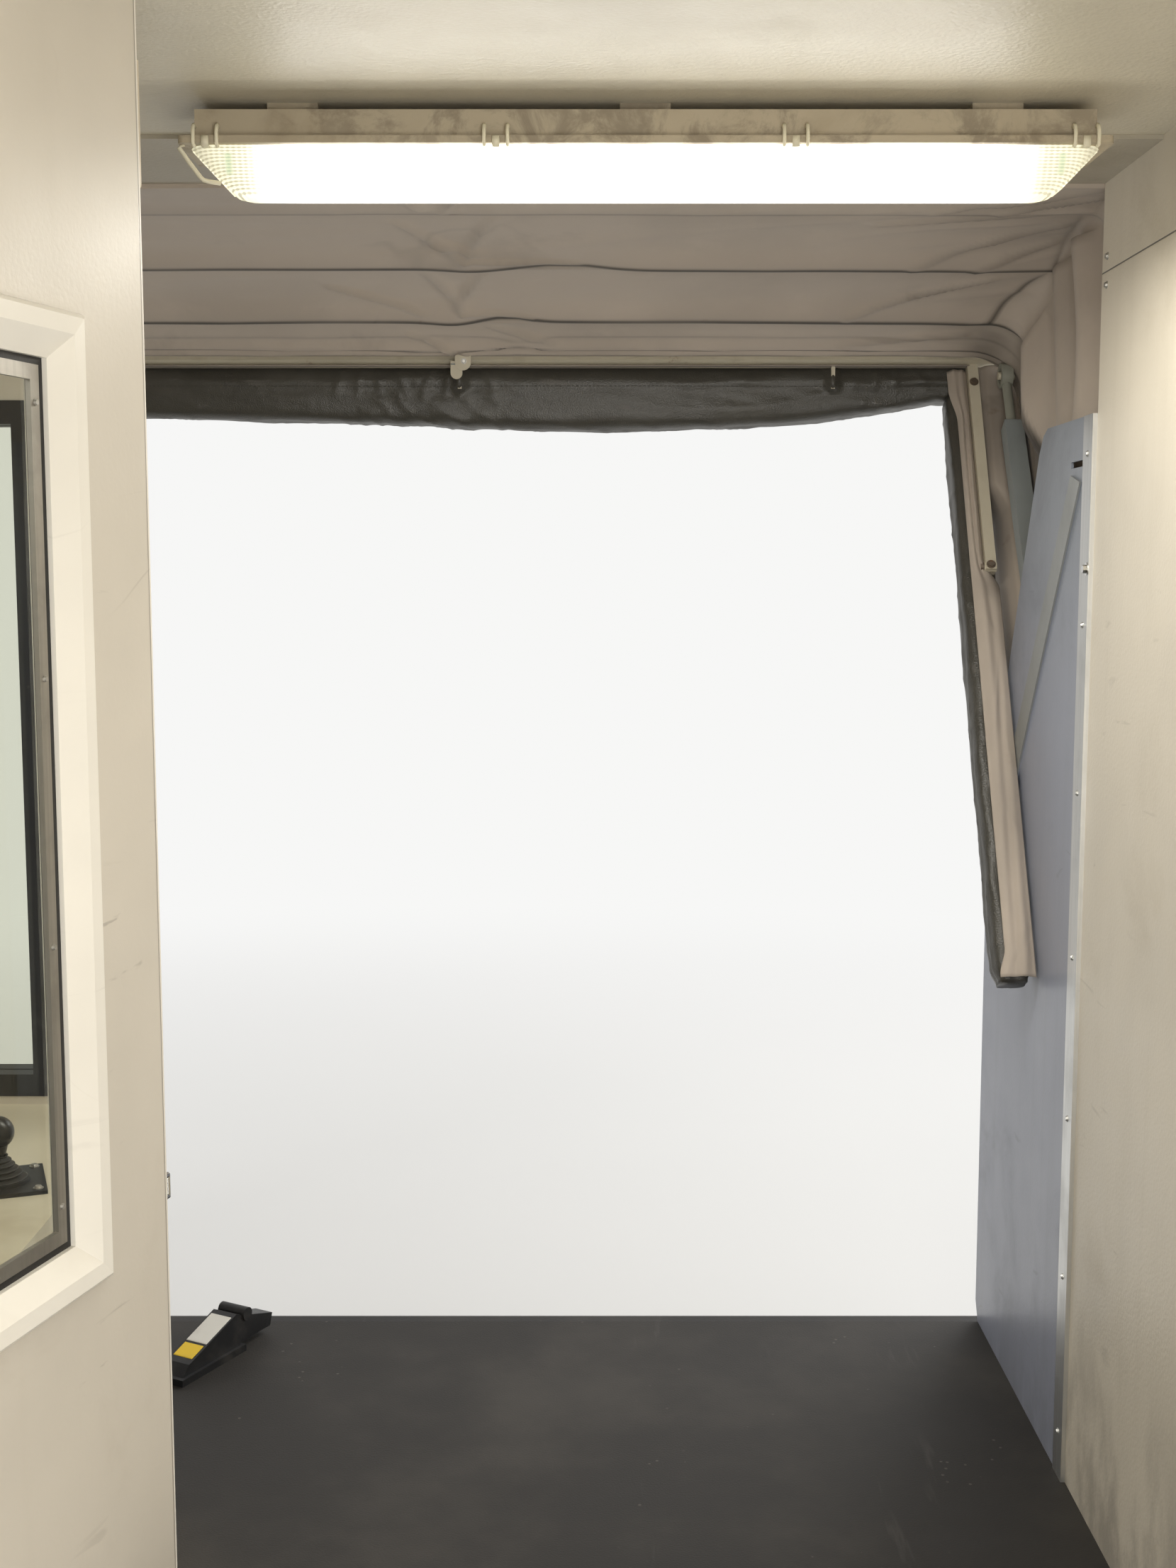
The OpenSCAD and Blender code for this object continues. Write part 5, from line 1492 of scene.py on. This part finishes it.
class CAB_OT_stage(CabOperator):
    """Set the floor, the light and the camera"""
    bl_idname = "cab.set_stage"
    bl_label = "Set stage"

    def make(self):
        scene = bpy.context.scene
        scene.view_settings.view_transform = "Standard"
        ground = Look("Studio_floor", specular_ior_level=0.2)
        spot = ground.cloudy(0.6, 3.0)
        plain = ground.finish(ground.mix((0.78, 0.78, 0.77), (0.74, 0.74, 0.73), spot), spot * 0.1 + 0.75)
        reach = (ground.x * ground.x + ground.y * ground.y) ** 0.5
        path = ground.node("ShaderNodeLightPath", {}, {})
        seen = path["Is Camera Ray"].top(path["Is Transmission Ray"])
        bright = ground.node("ShaderNodeEmission", {}, {"Color": (0.93, 0.93, 0.92), "Strength": 1.0})
        both = ground.node("ShaderNodeMixShader", {}, {0: seen * reach.step(3.2, 8.5),
                                                       1: ground.surface.outputs[0],
                                                       2: bright.node.outputs[0]})
        ground.feed(ground.out.inputs["Surface"], both.node.outputs[0])
        size = 40.0
        verts = [(-size, -size, 0), (size, -size, 0), (size, size, 0), (-size, size, 0)]
        new_piece("Studio_floor", verts, [(0, 1, 2, 3)], plain, smooth=False)
        world = bpy.data.worlds.new("Studio")
        scene.world = world
        world.use_nodes = True
        tree = world.node_tree
        tree.nodes.clear()
        path = tree.nodes.new("ShaderNodeLightPath")
        seen = tree.nodes.new("ShaderNodeMath")
        seen.operation = "ADD"
        seen.use_clamp = True
        tree.links.new(path.outputs["Is Camera Ray"], seen.inputs[0])
        tree.links.new(path.outputs["Is Transmission Ray"], seen.inputs[1])
        soft = tree.nodes.new("ShaderNodeBackground")
        soft.inputs[0].default_value = (1.0, 0.985, 0.96, 1)
        soft.inputs[1].default_value = 0.68
        plain_back = tree.nodes.new("ShaderNodeBackground")
        plain_back.inputs[0].default_value = (0.93, 0.93, 0.92, 1)
        plain_back.inputs[1].default_value = 1.0
        choose = tree.nodes.new("ShaderNodeMixShader")
        out = tree.nodes.new("ShaderNodeOutputWorld")
        tree.links.new(seen.outputs[0], choose.inputs[0])
        tree.links.new(soft.outputs[0], choose.inputs[1])
        tree.links.new(plain_back.outputs[0], choose.inputs[2])
        tree.links.new(choose.outputs[0], out.inputs[0])
        self.lamp("Tube_light", (LAMP_X, 0.58, 2.40), (0, 0, 0), 1.15, 0.1, 11.0, (1.0, 0.97, 0.9))
        self.lamp("Ceiling_wash", (LAMP_X, 0.88, 2.10), (math.radians(-123.5), 0, 0), 1.0, 0.04, 1.0,
                  (1.0, 0.95, 0.86), 120)
        self.lamp("Passage_fill", (1.05, -1.72, 1.55), (math.radians(88), 0, math.radians(30)), 0.7, 1.8, 24.0,
                  (1.0, 0.97, 0.92))
        self.lamp("Booth_fill", (-0.8, -0.6, 2.45), (0, 0, 0), 0.9, 0.9, 9.0, (1.0, 0.98, 0.95))
        self.lamp("Key", (4.5, 5.0, 5.5), (math.radians(-48), 0, math.radians(-40)), 4.0, 4.0, 260.0, (1, 1, 1))
        self.lamp("Rear_key", (-4.5, -6.0, 5.5), (math.radians(50), 0, math.radians(-36)), 4.0, 4.0, 260.0,
                  (1, 1, 1))
        lens = bpy.data.cameras.new("Camera")
        lens.sensor_fit = "VERTICAL"
        lens.sensor_height = 36.0
        lens.lens = FOCAL_PX / PHOTO_TALL_PX * 36.0
        lens.clip_start = 0.02
        lens.clip_end = 100.0
        camera = bpy.data.objects.new("Camera", lens)
        camera.location = EYE
        camera.rotation_euler = (math.radians(90 - EYE_PITCH), 0, 0)
        scene.collection.objects.link(camera)
        scene.camera = camera

    def lamp(self, name, place, turn, wide, tall, watts, colour, spread=180):
        """Sets one soft rectangular lamp that the camera doesn't see."""
        data = bpy.data.lights.new(name, "AREA")
        data.shape = "RECTANGLE"
        data.size, data.size_y = wide, tall
        data.energy = watts
        data.color = colour
        data.spread = math.radians(spread)
        piece = bpy.data.objects.new(name, data)
        piece.location = place
        piece.rotation_euler = turn
        piece.visible_camera = False
        bpy.context.scene.collection.objects.link(piece)


STEPS = (CAB_OT_shell, CAB_OT_floor, CAB_OT_booth, CAB_OT_door, CAB_OT_lamp, CAB_OT_frame, CAB_OT_canopy,
         CAB_OT_pads, CAB_OT_flaps, CAB_OT_stitches, CAB_OT_bracket, CAB_OT_fasteners, CAB_OT_stage)


class CAB_PT_panel(bpy.types.Panel):
    """Colours, sizes and steps of the cab"""
    bl_label = "Jet bridge cab"
    bl_idname = "CAB_PT_panel"
    bl_space_type = "VIEW_3D"
    bl_region_type = "UI"
    bl_category = "Cab"

    def draw(self, context):
        column = self.layout.column()
        for group in (context.scene.cab_colours, context.scene.cab_sizes):
            for key in group.bl_rna.properties.keys():
                if key not in ("rna_type", "name"):
                    column.prop(group, key)
        for step in STEPS:
            column.operator(step.bl_idname)


CLASSES = (CabColours, CabSizes) + STEPS + (CAB_PT_panel,)


def register():
    for one in CLASSES:
        bpy.utils.register_class(one)
    bpy.types.Scene.cab_colours = PointerProperty(type=CabColours)
    bpy.types.Scene.cab_sizes = PointerProperty(type=CabSizes)


def unregister():
    del bpy.types.Scene.cab_sizes
    del bpy.types.Scene.cab_colours
    for one in reversed(CLASSES):
        bpy.utils.unregister_class(one)


def main():
    register()
    for step in STEPS:
        group, name = step.bl_idname.split(".")
        getattr(getattr(bpy.ops, group), name)()


if __name__ == "__main__":
    main()
